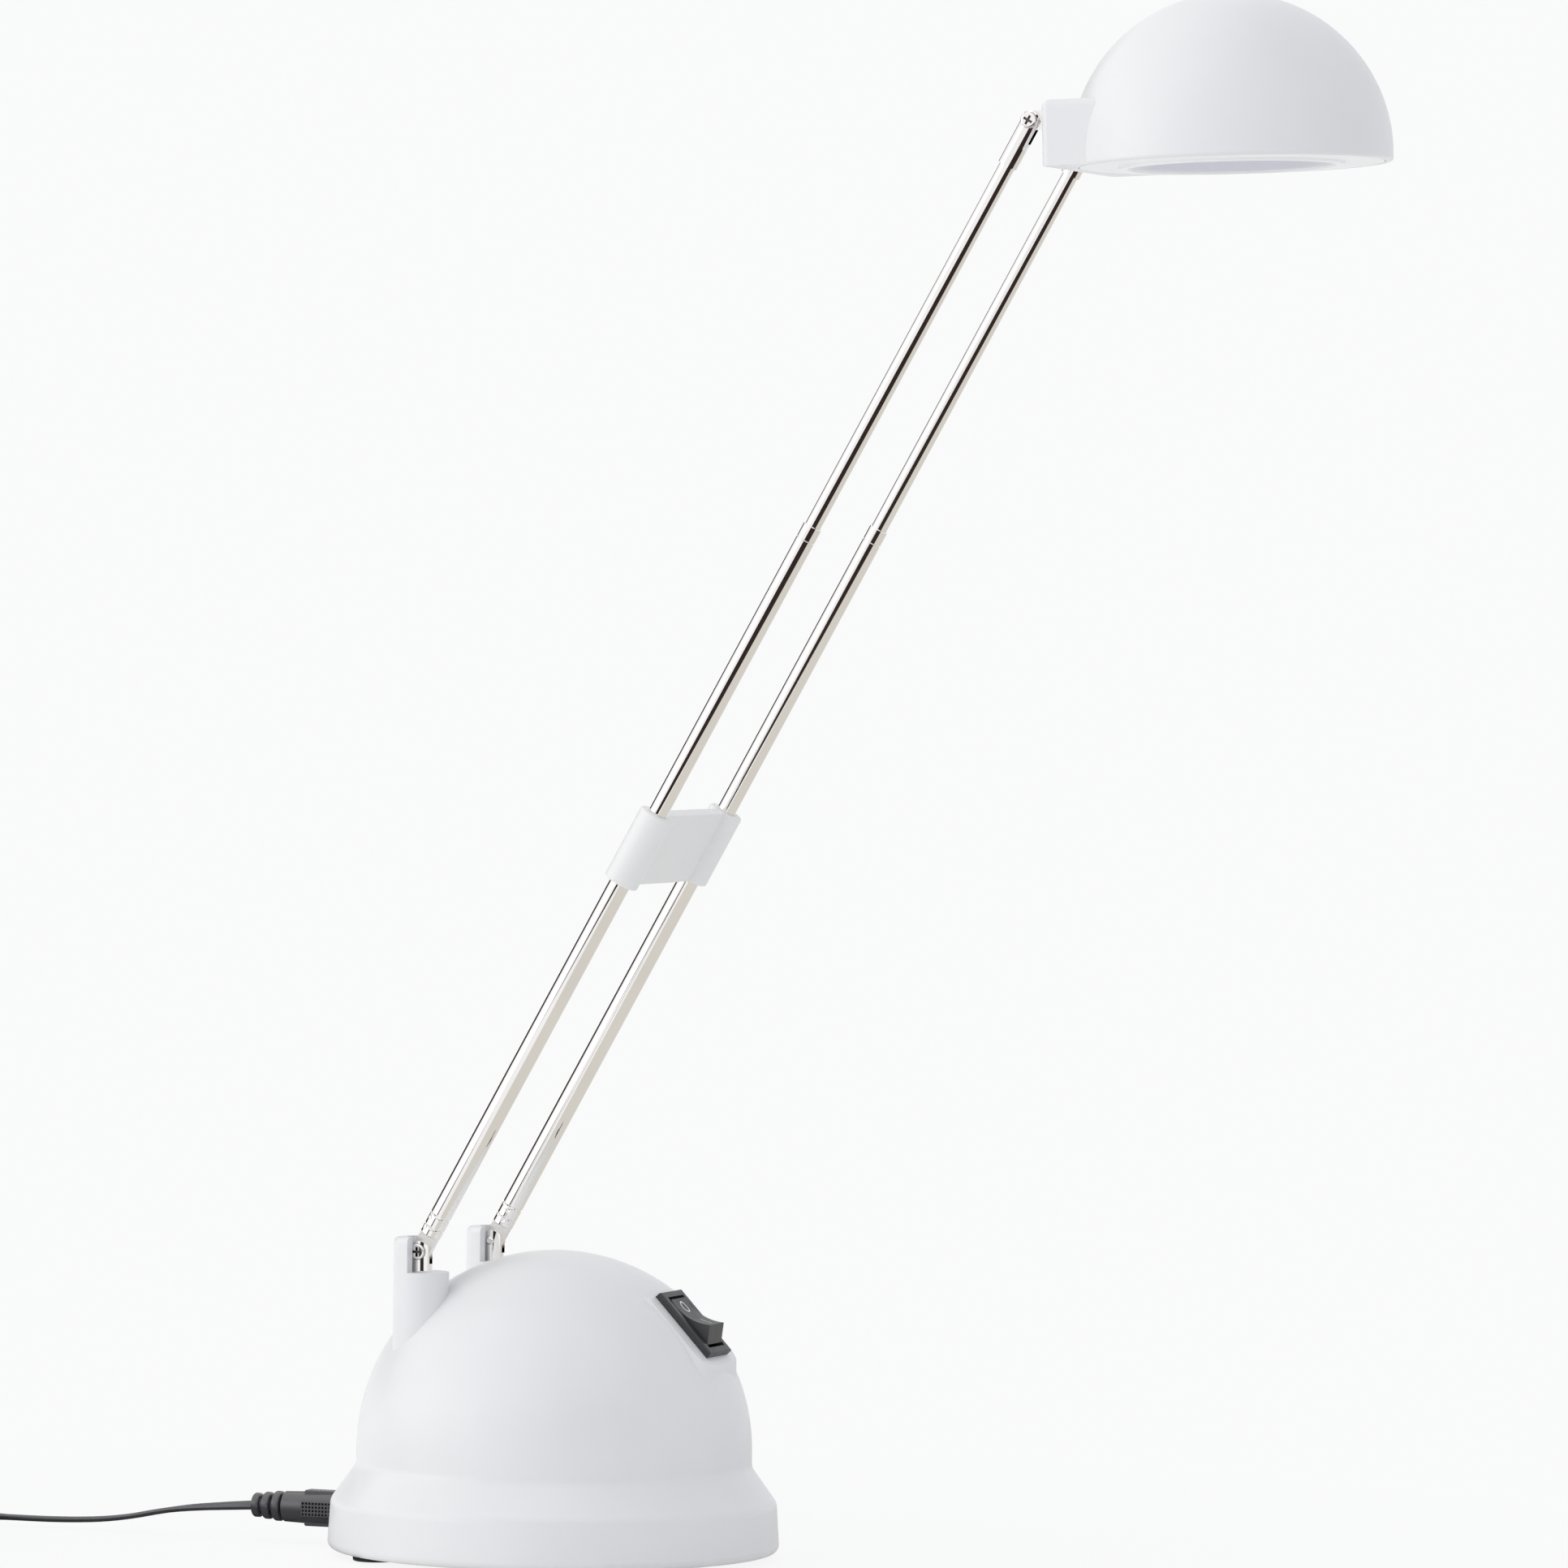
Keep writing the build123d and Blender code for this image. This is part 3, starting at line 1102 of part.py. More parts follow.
def adapter_pins():
    foot = ADAPTER_H - MAINS_PIN_ROOT - ADAPTER_WALL
    made = []
    for x in (-MAINS_PIN_SPACING / 2, MAINS_PIN_SPACING / 2):
        pin = rod(MAINS_PIN_R, ADAPTER_H, ADAPTER_H + MAINS_PIN_LENGTH, x, MAINS_PIN_PLACE - ADAPTER_L)
        pin = fillet(pin.edges().sort_by(Axis.Z)[-1], MAINS_PIN_R * 0.5)
        pin += rod(MAINS_PIN_ROOT_R, foot, ADAPTER_H, x, MAINS_PIN_PLACE - ADAPTER_L)
        made.append(adapter_place(pin))
    return made


def adapter_board():
    half, wall = ADAPTER_W / 2, ADAPTER_WALL + COVER_GAP
    z = ADAPTER_WALL + ADAPTER_BOARD_GAP
    board = block(wall - half, half - wall, wall - ADAPTER_L, -3 * wall, z, z + ADAPTER_BOARD_T)
    for y in (2 * wall - ADAPTER_L, -4 * wall):
        board += rod(ADAPTER_WALL, ADAPTER_WALL, z + ADAPTER_BOARD_T / 2, 0, y)
    return adapter_place(board)


def adapter_transformer():
    z = ADAPTER_WALL + ADAPTER_BOARD_GAP + ADAPTER_BOARD_T
    half = TRANSFORMER_W / 2
    middle = -ADAPTER_L / 2
    core = block(-half, half, middle - TRANSFORMER_L / 2, middle + TRANSFORMER_L / 2, z, z + TRANSFORMER_H)
    return adapter_place(core)


def save(name, shape):
    """Writes one node, whose solids stay separate."""
    pieces = shape if isinstance(shape, list) else [shape]
    solids = [solid for piece in pieces for solid in piece.solids()]
    node = solids[0] if len(solids) == 1 else Compound(solids)
    export_step(node, f"parts/{name}.step")


def main():
    os.makedirs("parts", exist_ok=True)
    single = [
        base_shell, base_plate, base_plate_screws, rubber_feet, ballast, ballast_screw,
        switch_housing, switch_terminals, switch_rocker, socket_housing, socket_pin, socket_tabs,
        lower_pivot_screws, fork_nuts, solder_tags,
        lead_socket_to_switch, lead_switch_to_fork, lead_socket_to_fork,
        spacer_clip, middle_collars, inner_collars, upper_pivot_screws,
        head_shell, head_cover, bezel_ring, diffuser, reflector_cup, led_board, led_chips,
        heat_spreader, spreader_screws, tongue_screws, head_leads,
        plug_body, plug_barrel, plug_insulator, supply_lead, lead_coil, lead_tail, lead_tie,
        adapter_case, adapter_cover, adapter_relief, adapter_pins, adapter_board, adapter_transformer,
    ]
    for make in single:
        save(make.__name__, make())
    for make in (lower_fork, lower_knuckle, outer_tube, middle_tube, inner_tube, upper_fork, tongue):
        for name, side in SIDES.items():
            save(f"{make.__name__}_{name}", make(side))


main()
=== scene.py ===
import json
import math

import bmesh
import bpy
from mathutils import Matrix, Vector


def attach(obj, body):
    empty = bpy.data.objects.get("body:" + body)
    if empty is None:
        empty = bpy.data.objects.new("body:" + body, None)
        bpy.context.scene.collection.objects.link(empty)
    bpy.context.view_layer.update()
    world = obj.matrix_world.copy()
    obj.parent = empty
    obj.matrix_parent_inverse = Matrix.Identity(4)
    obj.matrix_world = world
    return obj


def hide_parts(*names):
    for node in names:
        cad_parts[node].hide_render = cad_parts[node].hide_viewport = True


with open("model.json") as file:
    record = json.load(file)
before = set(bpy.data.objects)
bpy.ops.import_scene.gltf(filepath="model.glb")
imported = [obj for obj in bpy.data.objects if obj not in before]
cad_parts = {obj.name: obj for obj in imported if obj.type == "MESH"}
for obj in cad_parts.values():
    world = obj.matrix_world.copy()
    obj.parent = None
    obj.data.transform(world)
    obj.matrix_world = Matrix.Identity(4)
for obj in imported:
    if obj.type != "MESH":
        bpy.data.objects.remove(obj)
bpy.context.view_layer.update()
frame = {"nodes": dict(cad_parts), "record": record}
NODES = frame["nodes"]

MM = 0.001

# Camera: a level lens behind a shifted frame, as the photograph was cropped
PHOTO_PX = 1932.0
CAM_AZIMUTH = math.radians(21.933)
CAM_DISTANCE = 2.4
CAM_HEIGHT = 0.24215
CAM_ROLL = math.radians(0.640)
CAM_FOCAL_PX = 11336.4
CAM_AXIS_PX = (694.21, 772.10)
CAM_CLIP = (0.1, 50.0)
SENSOR_MM = 36.0

# Arms, as in the CAD frame
LOWER_PIVOT = Vector((-27.8, 0.0, 79.7)) * MM
ARM_TILT = math.radians(29.33)
ROD_Y = 24.7 * MM
OUTER_TUBE_R = 2.8 * MM
OUTER_TUBE_WALL = 0.25 * MM
OUTER_TUBE_FROM = 5.0 * MM
OUTER_TUBE_TO = 128.5 * MM
TUBE_SEGMENTS = 96
TUBE_LIP = 0.12 * MM      # off the radius at both ends
WORKED_L = 10.0 * MM      # crimped and punched end, drawn in close rings
WORKED_STEP = 0.17 * MM
PLAIN_RINGS = 12
CRIMPS = (2.2 * MM, 5.6 * MM)
CRIMP_DEPTH = 0.17 * MM
CRIMP_HALF_W = 0.35 * MM
PUNCH_R = 0.55 * MM
PUNCH_DEPTH = 0.26 * MM
PUNCH_POWER = 0.7         # between a ball's dent (0.5) and a shallow dish (1)
PUNCH_ROOM = 0.25 * MM    # the bore is narrower by this, clear of the dents
PUNCH_ROWS = (1.6 * MM, 4.6 * MM)
PUNCH_TURNS = {"right": math.radians(-33.0), "left": math.radians(7.0)}

# Pivot screws, their heads outwards on both sides of the lamp, with painted shade only in their recesses
SCREW_NODES = ("lower_pivot_screws", "upper_pivot_screws")
SCREW_RECESS = 0.70 * MM
# Dark brown painted into the screws' recesses as their shade
SCREW_PAINTED_SHADE = (0.10, 0.075, 0.07)
SCREW_BANDS = (0.43, 0.49, 0.675, 0.85)    # chrome, painted shade, painted shade, chrome, over two recess depths

# Rocker, drawn level about its pivot, then rocked and set on the boss, with its printed O and I
SWITCH_PLACE = Vector((39.3, 0.0, 62.5)) * MM
SWITCH_SLOPE = math.radians(47.0)
ROCKER_PIVOT = 3.5 * MM
ROCKER_SWING = math.radians(17.0)
ROCKER_TOP_HALF_L = 6.2 * MM
ROCKER_END_H = 5.8 * MM
ROCKER_DIP = 1.5 * MM
MARK_PROUD = 0.06 * MM
MARK_SUNK = 0.03 * MM
MARK_O_X = -3.55 * MM
MARK_O_RADII = (1.8 * MM, 1.38 * MM)
MARK_O_SQUASH = 0.9
MARK_O_STEPS = 48
MARK_I_X = 3.3 * MM
MARK_I_HALF_L = 1.5 * MM
MARK_I_HALF_W = 0.17 * MM
MARK_I_CUTS = 10

# Head
DIFFUSER_R = 25.2 * MM
DIFFUSER_LIT_EDGE = (0.80, 0.98)    # shares of the radius between which it turns paler, from painted shade to painted light

# Plug, with a dimpled grip on each of its flat pads
SOCKET_Z = 9.2 * MM
PLUG_FACE_X = -59.11875 * MM
RELIEF_END_X = -85.16875 * MM
GRIPS = 4
PAD_R = 4.45 * MM
PAD_FROM = 1.0 * MM
PAD_TO = 10.8 * MM
PAD_W = 4.2 * MM
PAD_EDGE = 0.18 * MM
PAD_SUNK = 0.1 * MM         # the grip's foot below the pad
PAD_FOOT_SHARE = 0.9        # of the edge that the foot covers
DIMPLE_COLUMNS = 10
DIMPLE_ROWS = 4
DIMPLE_DEPTH = 0.28 * MM
DIMPLE_FLOOR = 0.02 * MM    # above the pad
DIMPLE_SHARE = 0.58         # a dimple's mouth in its cell
DIMPLE_TAPER = 0.8          # its floor in its mouth

# Supply lead: a flat twin core, its coil and tail
LEAD_W = 2.6 * MM
LEAD_T = 1.5 * MM
LEAD_ARC_STEPS = 9
LEAD_RESOLUTION = 6
LEAD_BURIED = 1.5 * MM
LEAD_DOWN_MM = ((-97.0, 0, 8.3), (-110.0, 1.0, 6.8), (-126.0, 3.6, 3.3), (-143.0, 5.2, 2.0))
LEAD_PLUG_TURN = math.radians(58.0)
LEAD_PLUG_RUN = 26.0 * MM
LEAD_COIL_TURN = math.radians(90.0)
LEAD_COIL_RUN = 22.0 * MM
COIL_X = -181.0 * MM
COIL_Y = -17.5 * MM
COIL_Z = 2.2 * MM
COIL_MEAN_R = 15.0 * MM
COIL_TURNS = 14.25
COIL_LAYERS = 4
COIL_PITCH = 3.15 * MM
COIL_REVERSAL = 0.25        # turns on either side of a change of layer
COIL_START = math.radians(90.0)
COIL_STEPS = 24
COIL_LEAD_IN = 15.0 * MM
COIL_REACHED = 1.5 * MM     # how near the coil's first point counts as there
TAIL = 6.0 * MM

# Textures: noise scales in waves per metre and bump heights in metres
CLOUD_SCALE = 38.0
SHEEN_SCALE = 210.0
GRAIN_SCALE = 2600.0
GRAIN_H = 0.00003
HAZE_SCALE = 70.0
DRAWN_SCALE = 4200.0
DRAWN_STRETCH = (1, 1, 0.02)
DRAWN_HAZE_SCALE = 60.0
DRAWN_H = 0.00001
DUST_SCALE = 420.0
DUST_SHEEN_SCALE = 900.0
RUBBER_SCALE = 3200.0
RUBBER_H = 0.00004
FROST_SCALE = 800.0
LENS_SCALE = 900.0
LENS_H = 0.00012
RUST_SCALE = 260.0
CAST_SCALE = 1100.0
CAST_H = 0.0002
INK_SCALE = 5200.0

# Stage: places are in metres to the right, towards the camera and up, from the lamp's base
BACKGROUND = (0.955, 0.957, 0.960)
LIGHT_FROM = (-0.97, -0.25, 0.0)    # a direction
LIGHT_LEFT = (1.20, 1.20, 1.20)
LIGHT_RIGHT = (0.51, 0.525, 0.57)
FLOOR_HALF = 12.0
FLOOR_Z = -0.00005
FLOOR_COLOUR = (0.95, 0.95, 0.95)
FLOOR_FADE = (0.05, 0.34)           # distances from the base's middle
FLOOR_FADE_SHARES = (0.93, 1.0)     # shares of the background's colour there
CARD_DARK = (0.034, 0.023, 0.021)
CARD_WARM = (0.69, 0.67, 0.615)
CARD_TABLE = ((-0.05, 2.2), (-0.6, 0.45))
CARD_MAT = ((-0.22, -0.05), (-0.07, 0.03))
CARD_LOW_Z = 0.0005
CARD_SHELF = ((-0.30, 0.70), (0.21, 0.74))
CARD_SHELF_Z = 0.13
CARD_BACK = ((-2.6, -1.4), (-0.10, -1.4))
CARD_BACK_Z = (0.25, 0.95)
KERB_R = 0.6
KERB_Z = (0.0, 0.065)
KERB_DEGREES = ((-120, -90), (-90, -62), (-62, -40), (-14, 22))
LAMP_TARGET = (0.06, 0.0, 0.2)      # in the CAD frame
KEY_PLACE = (-1.6, 0.45, 0.35)
KEY_SIZE = (1.3, 1.6)
KEY_POWER = 5.0
KEY_COLOUR = (1.0, 0.995, 0.985)
TOP_PLACE = (-0.3, 0.2, 1.7)
TOP_SIZE = (1.4, 1.4)
TOP_POWER = 1.2
TOP_COLOUR = (1.0, 1.0, 1.0)


def arm_matrix(y):
    """The frame of one arm: Z along the arm from the lower pivot."""
    return Matrix.Translation(LOWER_PIVOT + Vector((0, y, 0))) @ Matrix.Rotation(ARM_TILT, 4, "Y")


def rocker_matrix():
    place = Matrix.Translation(SWITCH_PLACE) @ Matrix.Rotation(SWITCH_SLOPE, 4, "Y")
    place = place @ Matrix.Translation((0, 0, -ROCKER_PIVOT))
    return place @ Matrix.Rotation(-ROCKER_SWING, 4, "Y")


# Camera


def seen_from_camera(right, back, up):
    """A place given by the camera's own directions, from the lamp's base."""
    x = right * math.cos(CAM_AZIMUTH) + back * math.sin(CAM_AZIMUTH)
    y = right * math.sin(CAM_AZIMUTH) - back * math.cos(CAM_AZIMUTH)
    return (x, y, up)


def make_camera():
    data = bpy.data.cameras.new("photo_camera")
    data.sensor_width = SENSOR_MM
    data.sensor_fit = "HORIZONTAL"
    data.lens = CAM_FOCAL_PX / PHOTO_PX * SENSOR_MM
    data.shift_x = 0.5 - CAM_AXIS_PX[0] / PHOTO_PX
    data.shift_y = CAM_AXIS_PX[1] / PHOTO_PX - 0.5
    data.clip_start, data.clip_end = CAM_CLIP
    camera = bpy.data.objects.new("photo_camera", data)
    bpy.context.scene.collection.objects.link(camera)
    right = Vector(seen_from_camera(1, 0, 0))
    back = Vector(seen_from_camera(0, 1, 0))
    up = Vector((0, 0, 1))
    turned_right = math.cos(CAM_ROLL) * right + math.sin(CAM_ROLL) * up
    turned_up = math.cos(CAM_ROLL) * up - math.sin(CAM_ROLL) * right
    turn = Matrix((turned_right, turned_up, back)).transposed().to_4x4()
    place = back * CAM_DISTANCE + up * CAM_HEIGHT
    camera.matrix_world = Matrix.Translation(place) @ turn
    bpy.context.scene.camera = camera


# Materials


class Shader:
    """A Principled material and the nodes that feed it."""

    def __init__(self, name):
        self.material = bpy.data.materials.new(name)
        self.material.use_nodes = True
        self.tree = self.material.node_tree
        self.tree.nodes.clear()
        self.main = self.tree.nodes.new("ShaderNodeBsdfPrincipled")
        out = self.tree.nodes.new("ShaderNodeOutputMaterial")
        self.tree.links.new(self.main.outputs["BSDF"], out.inputs["Surface"])
        self.place = self.tree.nodes.new("ShaderNodeTexCoord").outputs["Object"]

    def set(self, **values):
        for name, value in values.items():
            self.main.inputs[name.replace("_", " ")].default_value = value

    def link(self, output, name):
        self.tree.links.new(output, self.main.inputs[name])

    def mapped(self, scale=(1, 1, 1), middle=(0, 0, 0)):
        """Object coordinates about a middle, stretched by a scale."""
        node = self.tree.nodes.new("ShaderNodeMapping")
        node.vector_type = "TEXTURE"
        node.inputs["Location"].default_value = middle
        node.inputs["Scale"].default_value = tuple(1 / c for c in scale)
        self.tree.links.new(self.place, node.inputs["Vector"])
        return node.outputs["Vector"]

    def reach(self, vector):
        node = self.tree.nodes.new("ShaderNodeVectorMath")
        node.operation = "LENGTH"
        self.tree.links.new(vector, node.inputs[0])
        return node.outputs["Value"]

    def noise(self, scale, detail, vector=None):
        node = self.tree.nodes.new("ShaderNodeTexNoise")
        node.inputs["Scale"].default_value = scale
        node.inputs["Detail"].default_value = detail
        self.tree.links.new(vector or self.place, node.inputs["Vector"])
        return node.outputs["Fac"]

    def cells(self, scale):
        node = self.tree.nodes.new("ShaderNodeTexVoronoi")
        node.inputs["Scale"].default_value = scale
        self.tree.links.new(self.place, node.inputs["Vector"])
        return node.outputs["Distance"]

    def spread(self, source, low, high, start=0.3, end=0.7):
        node = self.tree.nodes.new("ShaderNodeMapRange")
        node.inputs["From Min"].default_value = start
        node.inputs["From Max"].default_value = end
        node.inputs["To Min"].default_value = low
        node.inputs["To Max"].default_value = high
        self.tree.links.new(source, node.inputs["Value"])
        return node.outputs["Result"]

    def bands(self, source, *stops):
        """Colours by a value from 0 to 1: each stop is a place and the colour there."""
        node = self.tree.nodes.new("ShaderNodeValToRGB")
        ramp = node.color_ramp
        for i, (place, colour) in enumerate(stops):
            element = ramp.elements[i] if i < 2 else ramp.elements.new(place)
            element.position = place
            element.color = (*colour, 1)
        self.tree.links.new(source, node.inputs["Fac"])
        return node.outputs["Color"]

    def colours(self, source, low, high, start=0.3, end=0.7):
        return self.bands(source, (start, low), (end, high))

    def bump(self, height, strength, distance):
        node = self.tree.nodes.new("ShaderNodeBump")
        node.inputs["Strength"].default_value = strength
        node.inputs["Distance"].default_value = distance
        self.tree.links.new(height, node.inputs["Height"])
        self.link(node.outputs["Normal"], "Normal")


def shade(colour, factor):
    return tuple(min(1.0, c * factor) for c in colour)


def moulded(name, colour, rough, grain=0.12, vary=0.015, **values):
    """Injection-moulded plastic: a slight cloud in its colour and a fine spark-eroded grain."""
    shader = Shader(name)
    cloud = shader.noise(CLOUD_SCALE, 4.0)
    shader.link(shader.colours(cloud, shade(colour, 1 - vary), shade(colour, 1 + vary)), "Base Color")
    shader.link(shader.spread(shader.noise(SHEEN_SCALE, 5.0), rough - 0.05, rough + 0.05), "Roughness")
    shader.bump(shader.noise(GRAIN_SCALE, 2.0), grain, GRAIN_H)
    shader.set(**values)
    return shader.material


def polished(name, colour, rough, streak):
    """Bare metal with fine drawing lines along its length."""
    shader = Shader(name)
    lines = shader.noise(DRAWN_SCALE, 3.0, shader.mapped(scale=DRAWN_STRETCH))
    haze = shader.noise(DRAWN_HAZE_SCALE, 4.0)
    shader.link(shader.colours(haze, shade(colour, 0.97), shade(colour, 1.02)), "Base Color")
    shader.link(shader.spread(lines, rough, rough + streak), "Roughness")
    shader.bump(lines, 0.03, DRAWN_H)
    shader.set(Metallic=1.0)
    return shader.material


def plated(name, colour, rough):
    """Bright chrome: mirror smooth, with the faintest haze where it was handled."""
    shader = Shader(name)
    haze = shader.noise(HAZE_SCALE, 3.0)
    shader.link(shader.colours(haze, shade(colour, 0.98), shade(colour, 1.02)), "Base Color")
    shader.link(shader.spread(haze, rough, rough + 0.03), "Roughness")
    shader.set(Metallic=1.0)
    return shader.material


def box_middle(node):
    """Middle of a CAD node's box, in its own coordinates."""
    points = [Vector(corner) for corner in NODES[node].bound_box]
    return sum(points, Vector()) / len(points)


def recess_shaded(node, colour, painted_shade, rough):
    """Plated cross screws in pairs, with painted shade in the recesses below the heads' outer faces."""
    shader = Shader(node)
    split = shader.tree.nodes.new("ShaderNodeSeparateXYZ")
    shader.tree.links.new(shader.mapped(middle=box_middle(node)), split.inputs["Vector"])
    out = shader.tree.nodes.new("ShaderNodeMath")
    out.operation = "ABSOLUTE"
    shader.tree.links.new(split.outputs["Y"], out.inputs[0])
    face = NODES[node].dimensions.y / 2
    rise = shader.spread(out.outputs["Value"], 0, 1, face - 2 * SCREW_RECESS, face)
    # Chrome on the heads, and painted shade in a band below each face where the recess is
    stops = zip(SCREW_BANDS, (colour, painted_shade, painted_shade, colour))
    shader.link(shader.bands(rise, *stops), "Base Color")
    shader.link(shader.spread(shader.noise(HAZE_SCALE, 3.0), rough, rough + 0.05), "Roughness")
    shader.set(Metallic=1.0)
    return shader.material


def rubbery(name, colour, rough):
    """Soft black compound with faint dust in its texture."""
    shader = Shader(name)
    dust = shader.noise(DUST_SCALE, 6.0)
    shader.link(shader.colours(dust, shade(colour, 0.8), shade(colour, 1.5), 0.35, 0.8), "Base Color")
    shader.link(shader.spread(shader.noise(DUST_SHEEN_SCALE, 3.0), rough - 0.08, rough + 0.08), "Roughness")
    shader.bump(shader.noise(RUBBER_SCALE, 2.0), 0.2, RUBBER_H)
    return shader.material


def frosted(name, colour, lit_edge_colour):
    """The diffuser: a milky disc, lavender grey as painted shade in its recess and paler at its edge as
    painted light, with a fine field of small lenses.
    """
    shader = Shader(name)
    out = shader.reach(shader.mapped(middle=box_middle("diffuser")))
    share = shader.spread(out, 0, 1, 0.0, DIFFUSER_R)
    shader.link(shader.colours(share, colour, lit_edge_colour, *DIFFUSER_LIT_EDGE), "Base Color")
    shader.link(shader.spread(shader.noise(FROST_SCALE, 2.0), 0.34, 0.44), "Roughness")
    shader.bump(shader.cells(LENS_SCALE), 0.25, LENS_H)
    shader.set(Transmission_Weight=0.12, Subsurface_Weight=0.2, Subsurface_Radius=(0.002, 0.002, 0.0024))
    return shader.material


def cast(name, colour, rough):
    """Bare casting: rough, with rust-brown freckles."""
    shader = Shader(name)
    spots = shader.noise(RUST_SCALE, 8.0)
    brown = (colour[0] * 1.5, colour[1] * 1.05, colour[2] * 0.7)
    shader.link(shader.colours(spots, colour, brown, 0.45, 0.75), "Base Color")
    shader.link(shader.spread(spots, rough - 0.1, rough + 0.15), "Roughness")
    shader.bump(shader.noise(CAST_SCALE, 6.0), 0.5, CAST_H)
    shader.set(Metallic=0.6)
    return shader.material


def printed(name, colour):
    """Pad-printed ink: thin, matte, a little broken at its edges."""
    shader = Shader(name)
    wear = shader.noise(INK_SCALE, 4.0)
    shader.link(shader.colours(wear, shade(colour, 0.8), colour, 0.25, 0.5), "Base Color")
    shader.link(shader.spread(wear, 0.45, 0.6), "Roughness")
    return shader.material


WHITE = (0.83, 0.833, 0.84)
CHROME = (0.92, 0.905, 0.89)
SMOOTH_WHITE = {"grain": 0.015, "Coat_Weight": 0.12, "Coat_Roughness": 0.3}
COVER_WHITE = {"grain": 0.015, "Coat_Weight": 0.1, "Coat_Roughness": 0.3}
GLOSSY_BLACK = {"vary": 0.15, "Specular_IOR_Level": 0.85, "Coat_Weight": 0.6, "Coat_Roughness": 0.22}
MATERIALS = {
    "white_plastic": moulded("white_moulding", WHITE, 0.40, **SMOOTH_WHITE),
    # The cover's near-white is paler than the moulding's, as painted light on the head's shaded underside
    "cover_plastic": moulded("white_cover_painted_light", (0.96, 0.96, 0.96), 0.42, **COVER_WHITE),
    # The diffuser's lavender grey is painted shade, and its paler edge is painted light
    "diffuser": frosted("frosted_diffuser_painted_shade", (0.61, 0.60, 0.715), (0.76, 0.76, 0.80)),
    "plate_plastic": moulded("plate_moulding", (0.70, 0.71, 0.72), 0.55, grain=0.25),
    "rubber": rubbery("foot_rubber", (0.022, 0.022, 0.023), 0.75),
    "cast_iron": cast("ballast_casting", (0.14, 0.13, 0.125), 0.6),
    "steel": polished("zinc_steel", (0.58, 0.58, 0.60), 0.28, 0.12),
    "chrome": plated("arm_chrome", CHROME, 0.02),
    "brass": polished("contact_brass", (0.72, 0.53, 0.25), 0.22, 0.12),
    "switch_plastic": moulded("switch_moulding", (0.042, 0.043, 0.047), 0.46, grain=0.2, vary=0.12),
    "plug_plastic": moulded("plug_moulding", (0.050, 0.050, 0.058), 0.36, **GLOSSY_BLACK),
    "lead_jacket": moulded("lead_jacket", (0.042, 0.042, 0.049), 0.32, **GLOSSY_BLACK),
    "adapter_plastic": moulded("adapter_moulding", (0.028, 0.028, 0.031), 0.52, grain=0.35, vary=0.12),
    "wire_jacket": moulded("wire_jacket", (0.33, 0.025, 0.022), 0.38, vary=0.06),
    "board": moulded("solder_mask", (0.74, 0.75, 0.73), 0.35, vary=0.03),
    "led": moulded("led_phosphor", (0.84, 0.72, 0.27), 0.3, vary=0.04),
    "aluminium": polished("spreader_aluminium", (0.74, 0.75, 0.76), 0.3, 0.15),
    "transformer": cast("transformer_core", (0.22, 0.19, 0.11), 0.5),
}
SATIN = plated("knuckle_satin", (0.88, 0.865, 0.85), 0.32)
# The clip's white is a little paler than the moulding's, as painted light on its shaded web
CLIP_LIT_WHITE = moulded("clip_white_painted_light", (0.85, 0.848, 0.842), 0.40, **SMOOTH_WHITE)
SCREWS = {name: recess_shaded(name, CHROME, SCREW_PAINTED_SHADE, 0.06) for name in SCREW_NODES}
# Near-black painted shade for the grip dimples' walls and floors
GRIP_HOLE_SHADE = moulded("grip_hole_painted_shade", (0.006, 0.006, 0.007), 0.7, Specular_IOR_Level=0.1)
MARK_INK = printed("mark_ink", (0.82, 0.82, 0.82))


def dress(obj, material):
    obj.data.materials.clear()
    obj.data.materials.append(material)


def dress_nodes():
    """Each CAD node in its slot's material, apart from a few with a finish of their own or with painted
    light and shade.
    """
    for row in frame["record"]["subparts"]:
        dress(NODES[row["node"]], MATERIALS[row["material_slot"]])
    for side in ("right", "left"):
        dress(NODES[f"lower_knuckle_{side}"], SATIN)
    dress(NODES["spacer_clip"], CLIP_LIT_WHITE)
    for name, material in SCREWS.items():
        dress(NODES[name], material)


# Pieces


def add_piece(name, verts, faces, body, material, place=None, smooth=True, sharp=35.0):
    mesh = bpy.data.meshes.new(name)
    mesh.from_pydata([tuple(v) for v in verts], [], faces)
    work = bmesh.new()
    work.from_mesh(mesh)
    bmesh.ops.recalc_face_normals(work, faces=work.faces)
    work.to_mesh(mesh)
    work.free()
    if place is not None:
        mesh.transform(place)
    if smooth:
        mesh.shade_smooth()
        mesh.set_sharp_from_angle(angle=math.radians(sharp))
    mesh.materials.append(material)
    piece = bpy.data.objects.new(name, mesh)
    bpy.context.scene.collection.objects.link(piece)
    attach(piece, body)
    return piece


def grid_faces(rings, size, closed_rings=False):
    """Quads between closed rings of equal size; the last ring joins the first where asked."""
    faces = []
    count = len(rings) if closed_rings else len(rings) - 1
    for i in range(count):
        low, high = rings[i], rings[(i + 1) % len(rings)]
        for j in range(size):
            k = (j + 1) % size
            faces.append((low + j, low + k, high + k, high + j))
    return faces


# Supply lead


